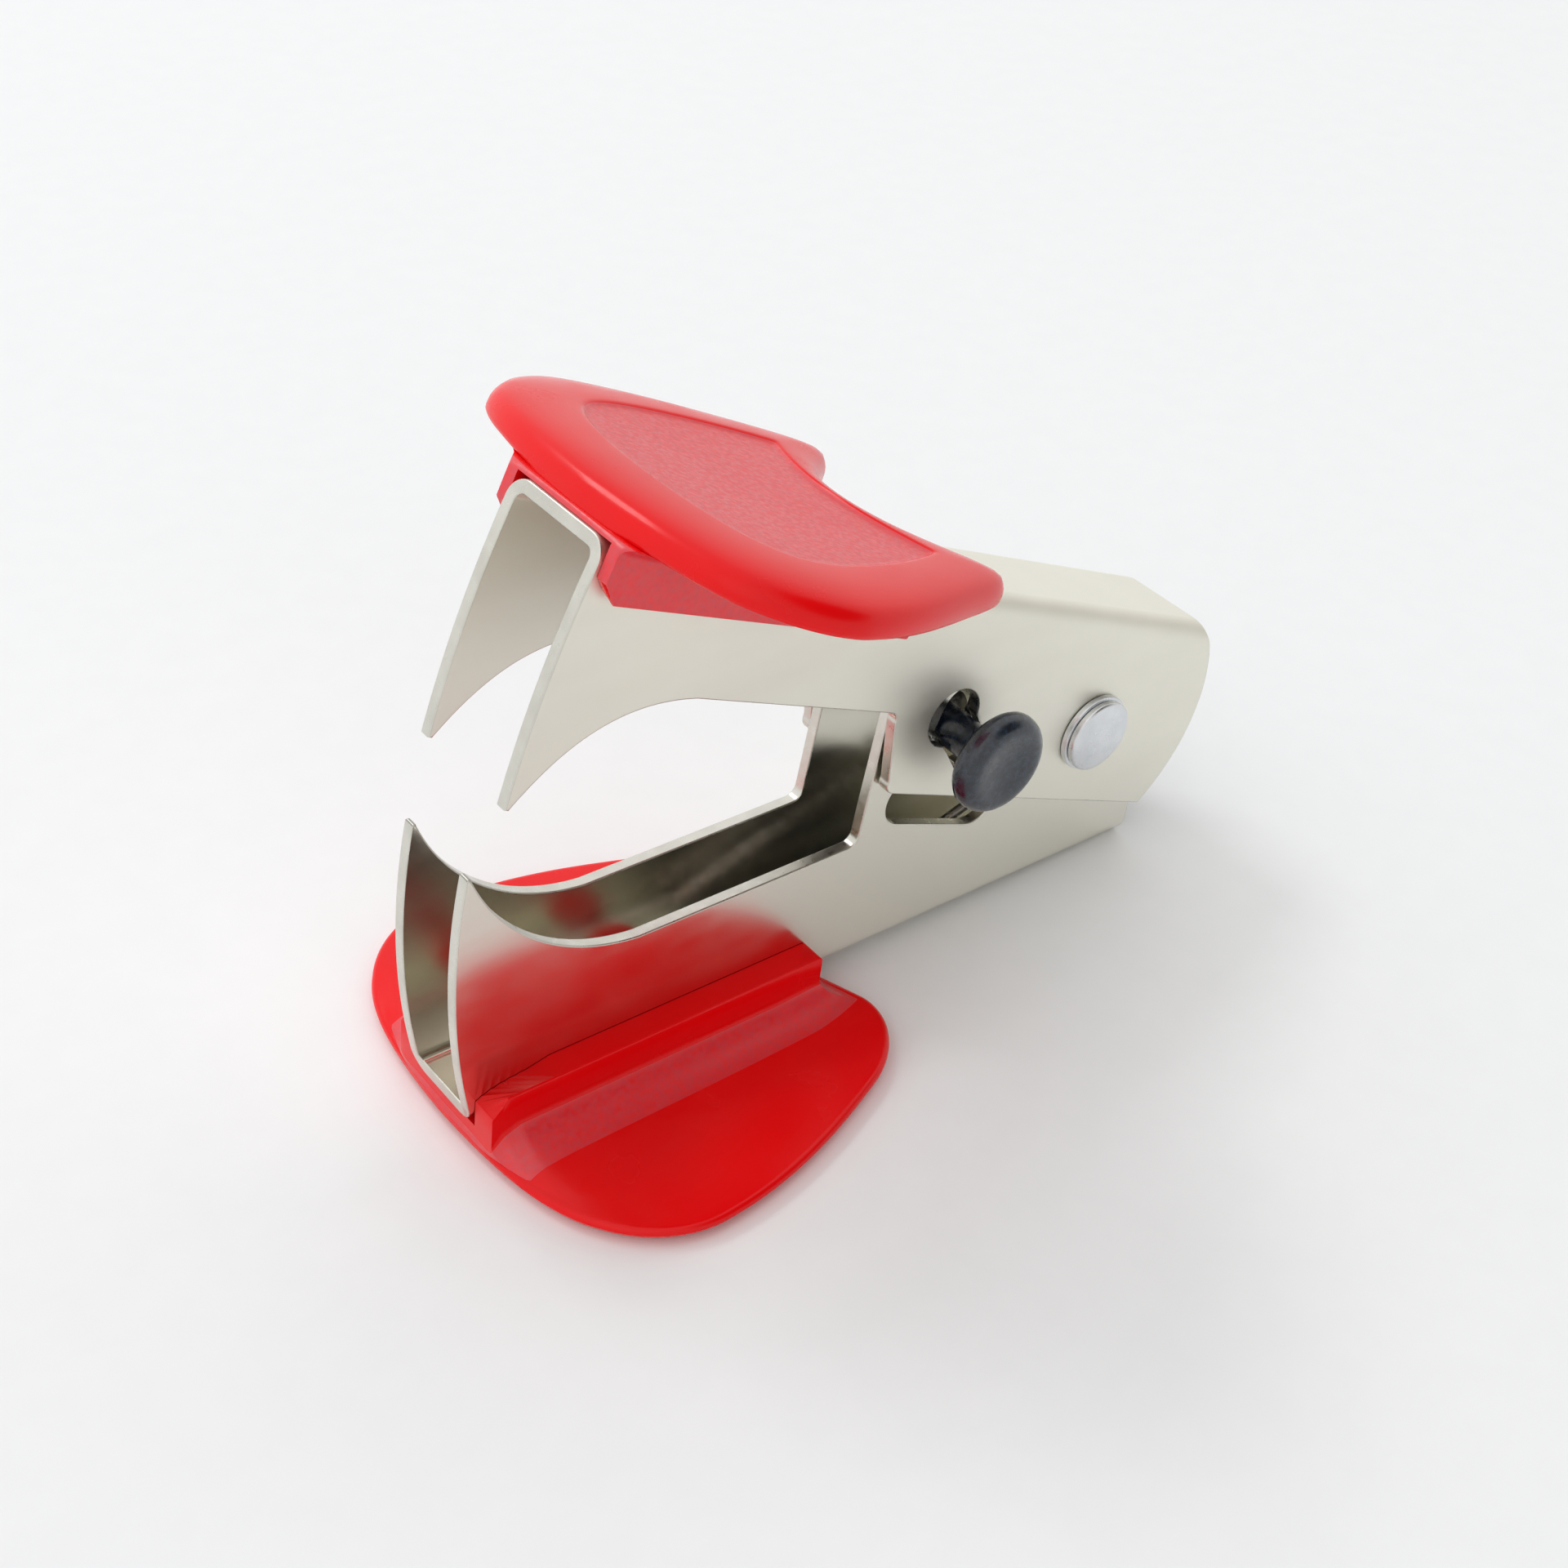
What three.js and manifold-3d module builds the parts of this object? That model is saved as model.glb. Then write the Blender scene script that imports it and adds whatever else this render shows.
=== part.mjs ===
// Jaw-type staple remover: two pressed-steel channel jaws on one rivet, moulded grips, a torsion spring and a lock button.
// Millimetres, +Z up, fangs towards -X, pivot towards +X, lock button towards -Y. The object stands open on z = 0.

import * as THREE from "three";
import { mergeVertices } from "three/addons/utils/BufferGeometryUtils.js";
import Module from "manifold-3d";

const wasm = await Module();
wasm.setup();

const DEG = Math.PI / 180;

// ---------------------------------------------------------------- sizes

// Steel channels. Lengths run along each web from its front edge, heights from the web's outer face.
const sheet = 0.9; // steel thickness
const bend = 1.5; // outside radius of the channel's two bends
const lowerWidth = 7.1; // outside width of the lower, inner channel
const sideGap = 0.2; // free gap between the nested channels on each side
const upperWidth = lowerWidth + 2 * (sideGap + sheet);
const openAngle = 22.5 * DEG; // between the two webs when the jaws stand open
const channelReach = 40; // longer than any flange, trimmed by the side profile

const lower = {
  width: lowerWidth,
  length: 60.4, // of the web
  fang: 20.8, // height of the fang's tip
  tipSetback: -0.9, // of the tip, ahead of the web's edge
  bow: 2.1, // how far the fang's front edge is pulled forward
  neck: 10.6, // height of the slim part behind the fang
  throat: 12.5, // where the fang's curve runs into the neck
  step: 31, // where the neck ends and the ear starts
  earLean: 1.2, // how far the ear's front edge leans back
  ear: 21.8, // height of the ear
  pivot: { x: 52.2, z: 13.6 },
};

const upper = {
  width: upperWidth,
  length: 62,
  fang: 17.4,
  tipSetback: 0.6,
  bow: 0.9,
  neck: 9.2,
  throat: 12,
  step: 30.9,
  earLean: 2.3,
  ear: 15.35,
  pivot: { x: 52.85, z: 9.3 },
};
const upperHeel = 12.5; // radius of the upper flange's rear end about the pivot
const fangFlat = 0.3; // blunt width of a fang's tip

// Rivet with its two washers.
const shankRadius = 1.9;
const shankPlay = 0.12; // radial play of both channels and washers on the shank
const washerRadius = 3.05;
const washerThickness = 0.5;
const headRadius = 2.85;
const headHeight = 0.75;
const headDome = 0.2; // crown of the head's face
const faceGap = 0.05; // between pieces that are riveted face to face

// Torsion spring round the rivet's shank, one leg on each web.
const wire = 0.8;
const coilGap = 0.15; // between neighbouring turns
const springPlay = 0.4; // between the shank and the inside of the coil
const coilRadius = shankRadius + springPlay + wire / 2;
const fullTurns = 3;
const lowerLegReach = 28.2; // from the pivot to the leg's foot, along the lower web
const upperLegReach = 28;

// Lock button: a headed pin that slides in a keyhole of the upper flange and reaches into a window of the lower one.
const pinRadius = 1.4;
const pinPlay = 0.2;
const pinPlace = { x: -14.32, z: -1.16 }; // from the pivot, along and across the upper web
const slideAngle = -36 * DEG; // direction of travel, from the upper web's line
const slideTravel = 2.2;
const keyholeRadius = 2.25; // wide end, where the pin is put in
const keyholeOffset = 2.19; // from the pin back to the wide end
const knobRadius = 3.8;
const knobStandoff = 2.2; // bare pin between the flange and the knob
const knobThickness = 2.5;
const knobDish = 0.35; // hollow in the knob's face
const grooveRadius = 1.05;
const clipThickness = 0.5;
const clipRadius = 2.4;
const clipPlay = 0.06; // between the clip and the groove
const pinTail = 0.6; // past the clip

// Window in the lower flange: an arc for the pin as the jaws swing, and a slanted leg where it locks.
const arcEnd = 156 * DEG; // upper end of the arc, about the pivot
const legFront = { x: 35.35, z: 12.85 };
const legRear = { x: 42.4, z: 10.05 };
const legHalfWidth = 1.95;

// Moulded grips on the webs' outer faces.
const rimWidth = 2.4;
const dishDepth = 0.6; // hollow for the fingertip
const wallDepth = 3.4; // how far the clip's walls reach down the flanges
const wallChamfer = 1.2;
const seatGap = 0.04; // between plastic and steel
const wallThickness = 0.91; // of the clip's walls beside the wider channel
const wallHalf = upperWidth / 2 + seatGap + wallThickness; // outside half width of both clips
const stakeRadius = 1.3; // heat-staked posts that hold a grip on its web
const stakePlay = 0.15;
const stakeHead = 2.0;
const stakeHeadHeight = 0.7;
const stakePlaces = [8, 17.5];

const lowerPad = {
  width: lower.width, // of the channel that it clips over
  half: 18.1, // half width of the plate at its widest
  nose: 0, // the plate's front edge, from the web's
  notch: 28.3, // the middle of its rear edge
  lobe: 30.3, // the two rear lobes beside the notch
  front: 2.8, // web to outer face, at the web's front edge
  edge: 1.35, // thickness of the rim
  walls: 27.4, // length of the clip's walls
};
// The lower grip thins to the rear, so that its outer face and the web's rear edge touch the table together.
const standAngle = Math.atan(lowerPad.front / lower.length);
lowerPad.slope = Math.tan(standAngle);

const upperPad = {
  width: upper.width,
  half: 17.4,
  nose: 0.5,
  notch: 27.3,
  lobe: 29.8,
  front: 2.7,
  edge: 1.9,
  walls: 28.8,
  slope: -0.028,
};

// ---------------------------------------------------------------- solids

const solidOf = (geometry) => {
  const bare = new THREE.BufferGeometry();
  const flat = geometry.index ? geometry.toNonIndexed() : geometry;
  bare.setAttribute("position", flat.getAttribute("position"));
  const merged = mergeVertices(bare, 1e-4);
  return new wasm.Manifold(
    new wasm.Mesh({
      numProp: 3,
      vertProperties: merged.attributes.position.array,
      triVerts: new Uint32Array(merged.index.array),
    }),
  );
};

const geometryOf = (solid) => {
  const mesh = solid.getMesh();
  const geometry = new THREE.BufferGeometry();
  geometry.setAttribute("position", new THREE.BufferAttribute(mesh.vertProperties, 3));
  geometry.setIndex(new THREE.BufferAttribute(mesh.triVerts, 1));
  const faceted = geometry.toNonIndexed();
  faceted.computeVertexNormals();
  return faceted;
};

// A shape drawn in (x, z), pushed out along Y between two values.
const acrossY = (shape, from, to, curveSegments = 24) => {
  const geometry = new THREE.ExtrudeGeometry(shape, {
    depth: to - from,
    bevelEnabled: false,
    curveSegments,
  });
  geometry.rotateX(Math.PI / 2);
  geometry.translate(0, to, 0);
  return solidOf(geometry);
};

// A shape drawn in (y, z), pushed out along X between two values.
const alongX = (shape, from, to) => {
  const geometry = new THREE.ExtrudeGeometry(shape, {
    depth: to - from,
    bevelEnabled: false,
    curveSegments: 10,
  });
  const turn = new THREE.Matrix4().makeBasis(
    new THREE.Vector3(0, 1, 0),
    new THREE.Vector3(0, 0, 1),
    new THREE.Vector3(1, 0, 0),
  );
  geometry.applyMatrix4(turn);
  geometry.translate(from, 0, 0);
  return solidOf(geometry);
};

const disc = (x, z, radius) => {
  const shape = new THREE.Shape();
  shape.absarc(x, z, radius, 0, 2 * Math.PI, false);
  return shape;
};

// A straight slot with round ends between two centres.
const slot = (a, b, halfWidth) => {
  const angle = Math.atan2(b.z - a.z, b.x - a.x);
  const shape = new THREE.Shape();
  shape.absarc(b.x, b.z, halfWidth, angle - Math.PI / 2, angle + Math.PI / 2, false);
  shape.absarc(a.x, a.z, halfWidth, angle + Math.PI / 2, angle + 1.5 * Math.PI, false);
  shape.closePath();
  return shape;
};

const lathe = (profile, segments = 40) => {
  const points = profile.map(([r, y]) => new THREE.Vector2(r, y));
  return new THREE.LatheGeometry(points, segments);
};

// Turns a point given from the pivot about the Y axis, as three.js turns a group.
const turned = (p, angle) => ({
  x: p.x * Math.cos(angle) + p.z * Math.sin(angle),
  z: -p.x * Math.sin(angle) + p.z * Math.cos(angle),
});

// ---------------------------------------------------------------- jaws

// Cross-section of a channel: the web lies on z = 0 and the flanges stand towards `side`.
const channelSection = (width, side) => {
  const half = width / 2;
  const inner = half - sheet;
  const innerBend = bend - sheet;
  const points = [];
  const corner = (cy, cz, radius, from, to) => {
    for (let i = 0; i <= 6; i++) {
      const angle = from + ((to - from) * i) / 6;
      points.push([cy + radius * Math.cos(angle), cz + radius * Math.sin(angle)]);
    }
  };
  points.push([-half, channelReach]);
  corner(-half + bend, bend, bend, Math.PI, 1.5 * Math.PI);
  corner(half - bend, bend, bend, -0.5 * Math.PI, 0);
  points.push([half, channelReach]);
  points.push([inner, channelReach]);
  corner(inner - innerBend, sheet + innerBend, innerBend, 0, -0.5 * Math.PI);
  corner(-inner + innerBend, sheet + innerBend, innerBend, -0.5 * Math.PI, -Math.PI);
  points.push([-inner, channelReach]);
  return new THREE.Shape(points.map(([y, z]) => new THREE.Vector2(y, side * z)));
};

// Front half of a jaw's side profile, from the web's front edge over the fang and the neck to the ear's top.
const fangAndNeck = (shape, jaw, side) => {
  const tip = jaw.tipSetback;
  const curve = jaw.fang - jaw.neck;
  shape.moveTo(0, -side);
  shape.lineTo(0, 0);
  shape.quadraticCurveTo(tip / 2 - jaw.bow, side * jaw.fang * 0.5, tip, side * jaw.fang);
  shape.lineTo(tip + fangFlat, side * jaw.fang);
  shape.bezierCurveTo(
    tip + 2.1,
    side * (jaw.fang - 0.45 * curve),
    jaw.throat * 0.45,
    side * (jaw.neck + 0.07 * curve),
    jaw.throat,
    side * jaw.neck,
  );
  shape.lineTo(jaw.step - 0.8, side * jaw.neck);
  shape.quadraticCurveTo(jaw.step, side * jaw.neck, jaw.step + 0.1, side * (jaw.neck + 0.8));
};

const lowerProfile = () => {
  const { pivot, step, earLean, ear, length } = lower;
  const heel = ear - pivot.z;
  const shape = new THREE.Shape();
  fangAndNeck(shape, lower, 1);
  shape.lineTo(step + earLean - 0.1, ear - 1);
  shape.quadraticCurveTo(step + earLean, ear, step + earLean + 1, ear);
  shape.lineTo(pivot.x, ear);
  shape.absarc(pivot.x, pivot.z, heel, Math.PI / 2, 0, true);
  shape.lineTo(length, pivot.z - 6);
  shape.lineTo(length, -1);
  shape.closePath();
  return shape;
};

const upperProfile = () => {
  const { pivot, step, earLean, ear } = upper;
  const depth = ear - pivot.z;
  const start = -Math.asin(depth / upperHeel);
  const end = Math.asin((pivot.z + 1) / upperHeel);
  const shape = new THREE.Shape();
  fangAndNeck(shape, upper, -1);
  shape.lineTo(step + earLean - 0.1, -(ear - 1));
  shape.quadraticCurveTo(step + earLean, -ear, step + earLean + 1, -ear);
  shape.absarc(pivot.x, -pivot.z, upperHeel, start, end, false);
  shape.closePath();
  return shape;
};

const jawBlank = (profile, width, side) =>
  acrossY(profile, -width / 2 - 1, width / 2 + 1).intersect(
    alongX(channelSection(width, side), -6, 80),
  );

const pivotHole = (jaw, side) =>
  acrossY(disc(jaw.pivot.x, side * jaw.pivot.z, shankRadius + shankPlay), -20, 20);

// Holes in the web for the grip's heat-staked posts.
const withStakeHoles = (solid) =>
  stakePlaces.reduce((rest, x) => {
    const hole = new THREE.CylinderGeometry(
      stakeRadius + stakePlay,
      stakeRadius + stakePlay,
      8,
      28,
    );
    hole.rotateX(Math.PI / 2);
    hole.translate(x, 0, 0);
    return rest.subtract(solidOf(hole));
  }, solid);

// The pin's places, in the lower jaw's frame: jaws open or closed, pin free or locked.
const slideStep = {
  x: slideTravel * Math.cos(slideAngle),
  z: slideTravel * Math.sin(slideAngle),
};
const pinLocked = { x: pinPlace.x + slideStep.x, z: pinPlace.z + slideStep.z };
const fromPivot = (p) => ({ x: lower.pivot.x + p.x, z: lower.pivot.z + p.z });

const lowerWindow = () => {
  const near = [-lower.width / 2 - 1, -lower.width / 2 + sheet + 0.6];
  const clear = pinRadius + pinPlay;
  const orbit = Math.hypot(pinPlace.x, pinPlace.z);
  const closed = Math.atan2(pinPlace.z, pinPlace.x) + 2 * Math.PI;
  const { x, z } = lower.pivot;
  const band = new THREE.Shape();
  band.absarc(x, z, orbit + clear, arcEnd, closed, false);
  band.absarc(x, z, orbit - clear, closed, arcEnd, true);
  band.closePath();
  const top = { x: x + orbit * Math.cos(arcEnd), z: z + orbit * Math.sin(arcEnd) };
  const openFree = fromPivot(turned(pinPlace, openAngle));
  const openLocked = fromPivot(turned(pinLocked, openAngle));
  return acrossY(band, ...near)
    .add(acrossY(disc(top.x, top.z, clear), ...near))
    .add(acrossY(slot(legFront, legRear, legHalfWidth), ...near))
    .add(acrossY(slot(openFree, openLocked, clear), ...near));
};

const upperKeyhole = () => {
  const near = [-upper.width / 2 - 1, -upper.width / 2 + sheet + 0.6];
  const toUpper = (p) => ({ x: upper.pivot.x + p.x, z: -upper.pivot.z + p.z });
  const wide = toUpper({
    x: pinPlace.x - keyholeOffset * Math.cos(slideAngle),
    z: pinPlace.z - keyholeOffset * Math.sin(slideAngle),
  });
  return acrossY(disc(wide.x, wide.z, keyholeRadius), ...near).add(
    acrossY(slot(wide, toUpper(pinLocked), pinRadius + pinPlay), ...near),
  );
};

const lowerJaw = () =>
  withStakeHoles(
    jawBlank(lowerProfile(), lower.width, 1)
      .subtract(pivotHole(lower, 1))
      .subtract(lowerWindow()),
  );

const upperJaw = () =>
  withStakeHoles(
    jawBlank(upperProfile(), upper.width, -1)
      .subtract(pivotHole(upper, -1))
      .subtract(upperKeyhole()),
  );

// ---------------------------------------------------------------- grips

// Half outline of the finger plate from the middle of the front edge to the middle of the rear edge, then mirrored.
const plateOutline = ({ half, nose, notch, lobe }) => {
  const shape = new THREE.Shape();
  shape.moveTo(nose, 0);
  shape.bezierCurveTo(nose + 0.1, half * 0.33, nose + 0.7, half * 0.61, 2.9, half * 0.775);
  shape.bezierCurveTo(4.4, half * 0.9, 7, half, 10, half);
  shape.bezierCurveTo(16, half, lobe - 9, half * 0.885, lobe - 4.3, half * 0.775);
  shape.bezierCurveTo(lobe - 0.8, half * 0.68, lobe + 0.7, half * 0.51, lobe - 0.2, half * 0.385);
  shape.bezierCurveTo(lobe - 0.9, half * 0.27, notch, half * 0.14, notch, 0);
  const side = shape.getPoints(10);
  const other = side
    .slice(1, -1)
    .reverse()
    .map((p) => new THREE.Vector2(p.x, -p.y));
  return [...side, ...other];
};

// Moves every point of a closed outline inwards along its own normal.
const insetOutline = (points, inset) => {
  const turn = THREE.ShapeUtils.area(points) > 0 ? 1 : -1;
  return points.map((p, i) => {
    const before = points[(i + points.length - 1) % points.length];
    const after = points[(i + 1) % points.length];
    const along = after.clone().sub(before).normalize();
    return new THREE.Vector2(p.x - turn * along.y * inset, p.y + turn * along.x * inset);
  });
};

// Height of a grip's outer face above the web.
const outerFace = (pad, x) => pad.front - x * pad.slope;

// The plate's rounded rim and shallow dish, as rings of [inset, depth below the outer face].
const plateRings = (edge) => [
  [0.5, edge],
  [0.15, edge - 0.12],
  [0, edge - 0.4],
  [0, 0.8],
  [0.14, 0.42],
  [0.46, 0.12],
  [0.95, 0],
  [rimWidth, 0],
  [rimWidth + 0.3, dishDepth * 0.35],
  [rimWidth + 0.7, dishDepth],
];

const plate = (pad) => {
  const outline = plateOutline(pad);
  const rings = plateRings(pad.edge).map(([inset, drop]) =>
    insetOutline(outline, inset).map((p) => [p.x, p.y, outerFace(pad, p.x) - drop]),
  );
  const count = outline.length;
  const vertices = rings.flat(2);
  const faces = [];
  for (let r = 0; r + 1 < rings.length; r++) {
    for (let i = 0; i < count; i++) {
      const a = r * count + i;
      const b = r * count + ((i + 1) % count);
      faces.push([a, b, b + count], [a, b + count, a + count]);
    }
  }
  const cap = (ring, flip) => {
    const flat = rings[ring].map(([x, y]) => new THREE.Vector2(x, y));
    for (const face of THREE.ShapeUtils.triangulateShape(flat, [])) {
      const [a, b, c] = face.map((i) => ring * count + i);
      faces.push(flip ? [a, c, b] : [a, b, c]);
    }
  };
  const turn = THREE.ShapeUtils.area(outline) > 0;
  cap(0, turn);
  cap(rings.length - 1, !turn);
  const geometry = new THREE.BufferGeometry();
  geometry.setAttribute("position", new THREE.Float32BufferAttribute(vertices, 3));
  geometry.setIndex(turn ? faces.flat() : faces.map(([a, b, c]) => [a, c, b]).flat());
  return solidOf(geometry);
};

// The thick root under the plate, which thins towards the wings.
const root = (pad) => {
  const reach = pad.half - 1;
  const rise = pad.front - pad.edge + 0.5;
  const section = new THREE.Shape([
    new THREE.Vector2(-reach, rise),
    new THREE.Vector2(-wallHalf, seatGap),
    new THREE.Vector2(wallHalf, seatGap),
    new THREE.Vector2(reach, rise),
    new THREE.Vector2(reach, pad.front + 2),
    new THREE.Vector2(-reach, pad.front + 2),
  ]);
  const below = new THREE.ExtrudeGeometry(
    new THREE.Shape(insetOutline(plateOutline(pad), 0.6)),
    { depth: 12, bevelEnabled: false },
  );
  const places = below.getAttribute("position");
  for (let i = 0; i < places.count; i++) {
    const drop = 12 - places.getZ(i) + pad.edge - 0.4;
    places.setZ(i, outerFace(pad, places.getX(i)) - drop);
  }
  return alongX(section, -3, pad.lobe + 3).intersect(solidOf(below));
};

// Side walls that clip over the channel.
const clipWalls = (pad) => {
  const profile = new THREE.Shape();
  profile.moveTo(0.2, 1);
  profile.lineTo(0.2, -wallDepth + wallChamfer);
  profile.lineTo(0.2 + wallChamfer, -wallDepth);
  profile.lineTo(pad.walls, -wallDepth);
  profile.lineTo(pad.walls - 0.5, outerFace(pad, pad.walls) - 0.6);
  profile.lineTo(0.2, 1.4);
  profile.closePath();
  const inner = pad.width / 2 + seatGap;
  return acrossY(profile, -wallHalf, -inner).add(acrossY(profile, inner, wallHalf));
};

// Posts through the web with their flattened heads inside the channel.
const stakes = () => {
  const under = -sheet - seatGap;
  const post = [
    [0, under - stakeHeadHeight],
    [stakeHead - 0.35, under - stakeHeadHeight],
    [stakeHead, under - stakeHeadHeight + 0.3],
    [stakeHead, under],
    [stakeRadius, under],
    [stakeRadius, 1],
    [0, 1],
  ];
  return stakePlaces
    .map((x) => {
      const geometry = lathe(post, 28);
      geometry.rotateX(Math.PI / 2);
      geometry.translate(x, 0, 0);
      return solidOf(geometry);
    })
    .reduce((a, b) => a.add(b));
};

const grip = (pad) => plate(pad).add(root(pad)).add(clipWalls(pad)).add(stakes());

// ---------------------------------------------------------------- rivet

const outerHalf = upper.width / 2; // the flange face that the washers sit on
const washerFace = outerHalf + faceGap + washerThickness;

const rivet = () => {
  const near = washerFace + faceGap;
  const rim = near + headHeight - headDome;
  const face = near + headHeight;
  const head = [
    [0, face],
    [headRadius * 0.45, face - headDome * 0.12],
    [headRadius * 0.8, face - headDome * 0.5],
    [headRadius - 0.12, rim],
    [headRadius, rim - 0.18],
    [headRadius, near],
    [shankRadius, near],
  ];
  const lowerHalf = head.map(([r, y]) => [r, -y]);
  return lathe([...lowerHalf, ...head.reverse()], 48);
};

const washer = () => {
  const hole = shankRadius + shankPlay;
  const from = outerHalf + faceGap;
  const to = washerFace;
  const ring = [
    [hole, from],
    [washerRadius, from],
    [washerRadius, to - 0.12],
    [washerRadius - 0.12, to],
    [hole, to],
    [hole, from],
  ];
  return lathe(ring, 48);
};

// ---------------------------------------------------------------- spring

// Wire path: a straight leg, a close coil and a second leg, tangent to each other.
class SpringPath extends THREE.Curve {
  constructor() {
    super();
    const clear = sheet + wire / 2 + seatGap;
    const footLower = { x: -lowerLegReach, z: -(lower.pivot.z - clear) };
    const footUpper = turned({ x: -upperLegReach, z: upper.pivot.z - clear }, openAngle);
    const away = (foot, way) => {
      const distance = Math.hypot(foot.x, foot.z);
      return Math.atan2(foot.z, foot.x) + way * Math.acos(coilRadius / distance);
    };
    this.from = away(footLower, 1);
    const leave = away(footUpper, -1);
    const part = (leave - this.from + 6 * Math.PI) % (2 * Math.PI);
    this.sweep = fullTurns * 2 * Math.PI + part;
    this.length = (this.sweep / (2 * Math.PI)) * (wire + coilGap);
    const start = this.onCoil(0);
    const end = this.onCoil(1);
    this.footLower = new THREE.Vector3(footLower.x, start.y, footLower.z);
    this.footUpper = new THREE.Vector3(footUpper.x, end.y, footUpper.z);
    const legLower = this.footLower.distanceTo(start);
    const legUpper = this.footUpper.distanceTo(end);
    const coil = Math.hypot(this.sweep * coilRadius, this.length);
    this.total = legLower + coil + legUpper;
    this.breakA = legLower / this.total;
    this.breakB = (legLower + coil) / this.total;
  }
  onCoil(t) {
    const angle = this.from + t * this.sweep;
    return new THREE.Vector3(
      coilRadius * Math.cos(angle),
      (t - 0.5) * this.length,
      coilRadius * Math.sin(angle),
    );
  }
  getPoint(t) {
    if (t < this.breakA) return this.footLower.clone().lerp(this.onCoil(0), t / this.breakA);
    if (t > this.breakB)
      return this.onCoil(1).lerp(this.footUpper, (t - this.breakB) / (1 - this.breakB));
    return this.onCoil((t - this.breakA) / (this.breakB - this.breakA));
  }
}

const spring = () => {
  const round = new THREE.Shape();
  round.absarc(0, 0, wire / 2, 0, 2 * Math.PI, false);
  return new THREE.ExtrudeGeometry(round, {
    steps: 190,
    curveSegments: 4,
    extrudePath: new SpringPath(),
  });
};

// ---------------------------------------------------------------- lock

const clipPlace = -lower.width / 2 + sheet + 0.15; // inner face of the lower flange, with play

const lockButton = () => {
  const knobBack = -outerHalf - knobStandoff;
  const knobFace = knobBack - knobThickness;
  const grooveEnd = clipPlace + clipThickness + 2 * clipPlay;
  const profile = [
    [0, knobFace + knobDish],
    [knobRadius * 0.3, knobFace + knobDish * 0.85],
    [knobRadius * 0.5, knobFace + knobDish * 0.35],
    [knobRadius * 0.68, knobFace],
    [knobRadius * 0.86, knobFace + 0.25],
    [knobRadius * 0.97, knobFace + 0.8],
    [knobRadius, knobFace + 1.35],
    [knobRadius * 0.97, knobBack - 0.6],
    [knobRadius * 0.85, knobBack - 0.2],
    [knobRadius * 0.62, knobBack],
    [pinRadius + 0.2, knobBack],
    [pinRadius, knobBack + 0.25],
    [pinRadius, clipPlace],
    [grooveRadius, clipPlace],
    [grooveRadius, grooveEnd],
    [pinRadius, grooveEnd],
    [pinRadius, grooveEnd + pinTail - 0.25],
    [pinRadius - 0.3, grooveEnd + pinTail],
    [0, grooveEnd + pinTail],
  ];
  return lathe(profile, 44);
};

const lockClip = () => {
  const from = clipPlace + clipPlay;
  const ring = disc(0, 0, clipRadius);
  const bore = new THREE.Path();
  bore.absarc(0, 0, grooveRadius + clipPlay, 0, 2 * Math.PI, true);
  ring.holes.push(bore);
  const mouth = grooveRadius - 0.1;
  const opening = new THREE.Shape([
    new THREE.Vector2(0, -mouth),
    new THREE.Vector2(clipRadius + 1, -mouth),
    new THREE.Vector2(clipRadius + 1, mouth),
    new THREE.Vector2(0, mouth),
  ]);
  return acrossY(ring, from, from + clipThickness).subtract(
    acrossY(opening, from - 1, from + clipThickness + 1),
  );
};

// ---------------------------------------------------------------- materials

const steel = new THREE.MeshStandardMaterial({ color: 0xd2cdbf, metalness: 1, roughness: 0.24 });
const rivetSteel = new THREE.MeshStandardMaterial({ color: 0xc3c7ca, metalness: 1, roughness: 0.35 });
const springSteel = new THREE.MeshStandardMaterial({ color: 0xaeb0ae, metalness: 1, roughness: 0.3 });
const redPlastic = new THREE.MeshStandardMaterial({ color: 0xd40f18, metalness: 0, roughness: 0.3 });
const blackPlastic = new THREE.MeshStandardMaterial({ color: 0x0d151f, metalness: 0, roughness: 0.3 });

// ---------------------------------------------------------------- assembly

const piece = (name, shape, material) => {
  const geometry = shape.isBufferGeometry ? shape : geometryOf(shape);
  const mesh = new THREE.Mesh(geometry, material);
  mesh.name = name;
  return mesh;
};

const group = new THREE.Group();

// Lower jaw's frame: its web's outer face is z = 0 and its web's front edge is x = 0.
const lowerFrame = new THREE.Group();
lowerFrame.rotation.y = standAngle;
group.add(lowerFrame);
lowerFrame.add(piece("lower_jaw", lowerJaw(), steel));

const lowerGrip = piece("lower_grip", grip(lowerPad), redPlastic);
lowerGrip.rotation.x = Math.PI;
lowerFrame.add(lowerGrip);

// Everything on the rivet's axis.
const pivotFrame = new THREE.Group();
pivotFrame.position.set(lower.pivot.x, 0, lower.pivot.z);
lowerFrame.add(pivotFrame);
pivotFrame.add(piece("pivot_rivet", rivet(), rivetSteel));
pivotFrame.add(piece("torsion_spring", spring(), springSteel));

const farWasher = piece("rivet_washer_far", washer(), rivetSteel);
pivotFrame.add(farWasher);
const nearWasher = piece("rivet_washer_near", washer(), rivetSteel);
nearWasher.rotation.x = Math.PI;
pivotFrame.add(nearWasher);

// Upper jaw's frame, turned open about the pivot.
const swing = new THREE.Group();
swing.rotation.y = openAngle;
pivotFrame.add(swing);
const upperFrame = new THREE.Group();
upperFrame.position.set(-upper.pivot.x, 0, upper.pivot.z);
swing.add(upperFrame);
upperFrame.add(piece("upper_jaw", upperJaw(), steel));
upperFrame.add(piece("upper_grip", grip(upperPad), redPlastic));

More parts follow.
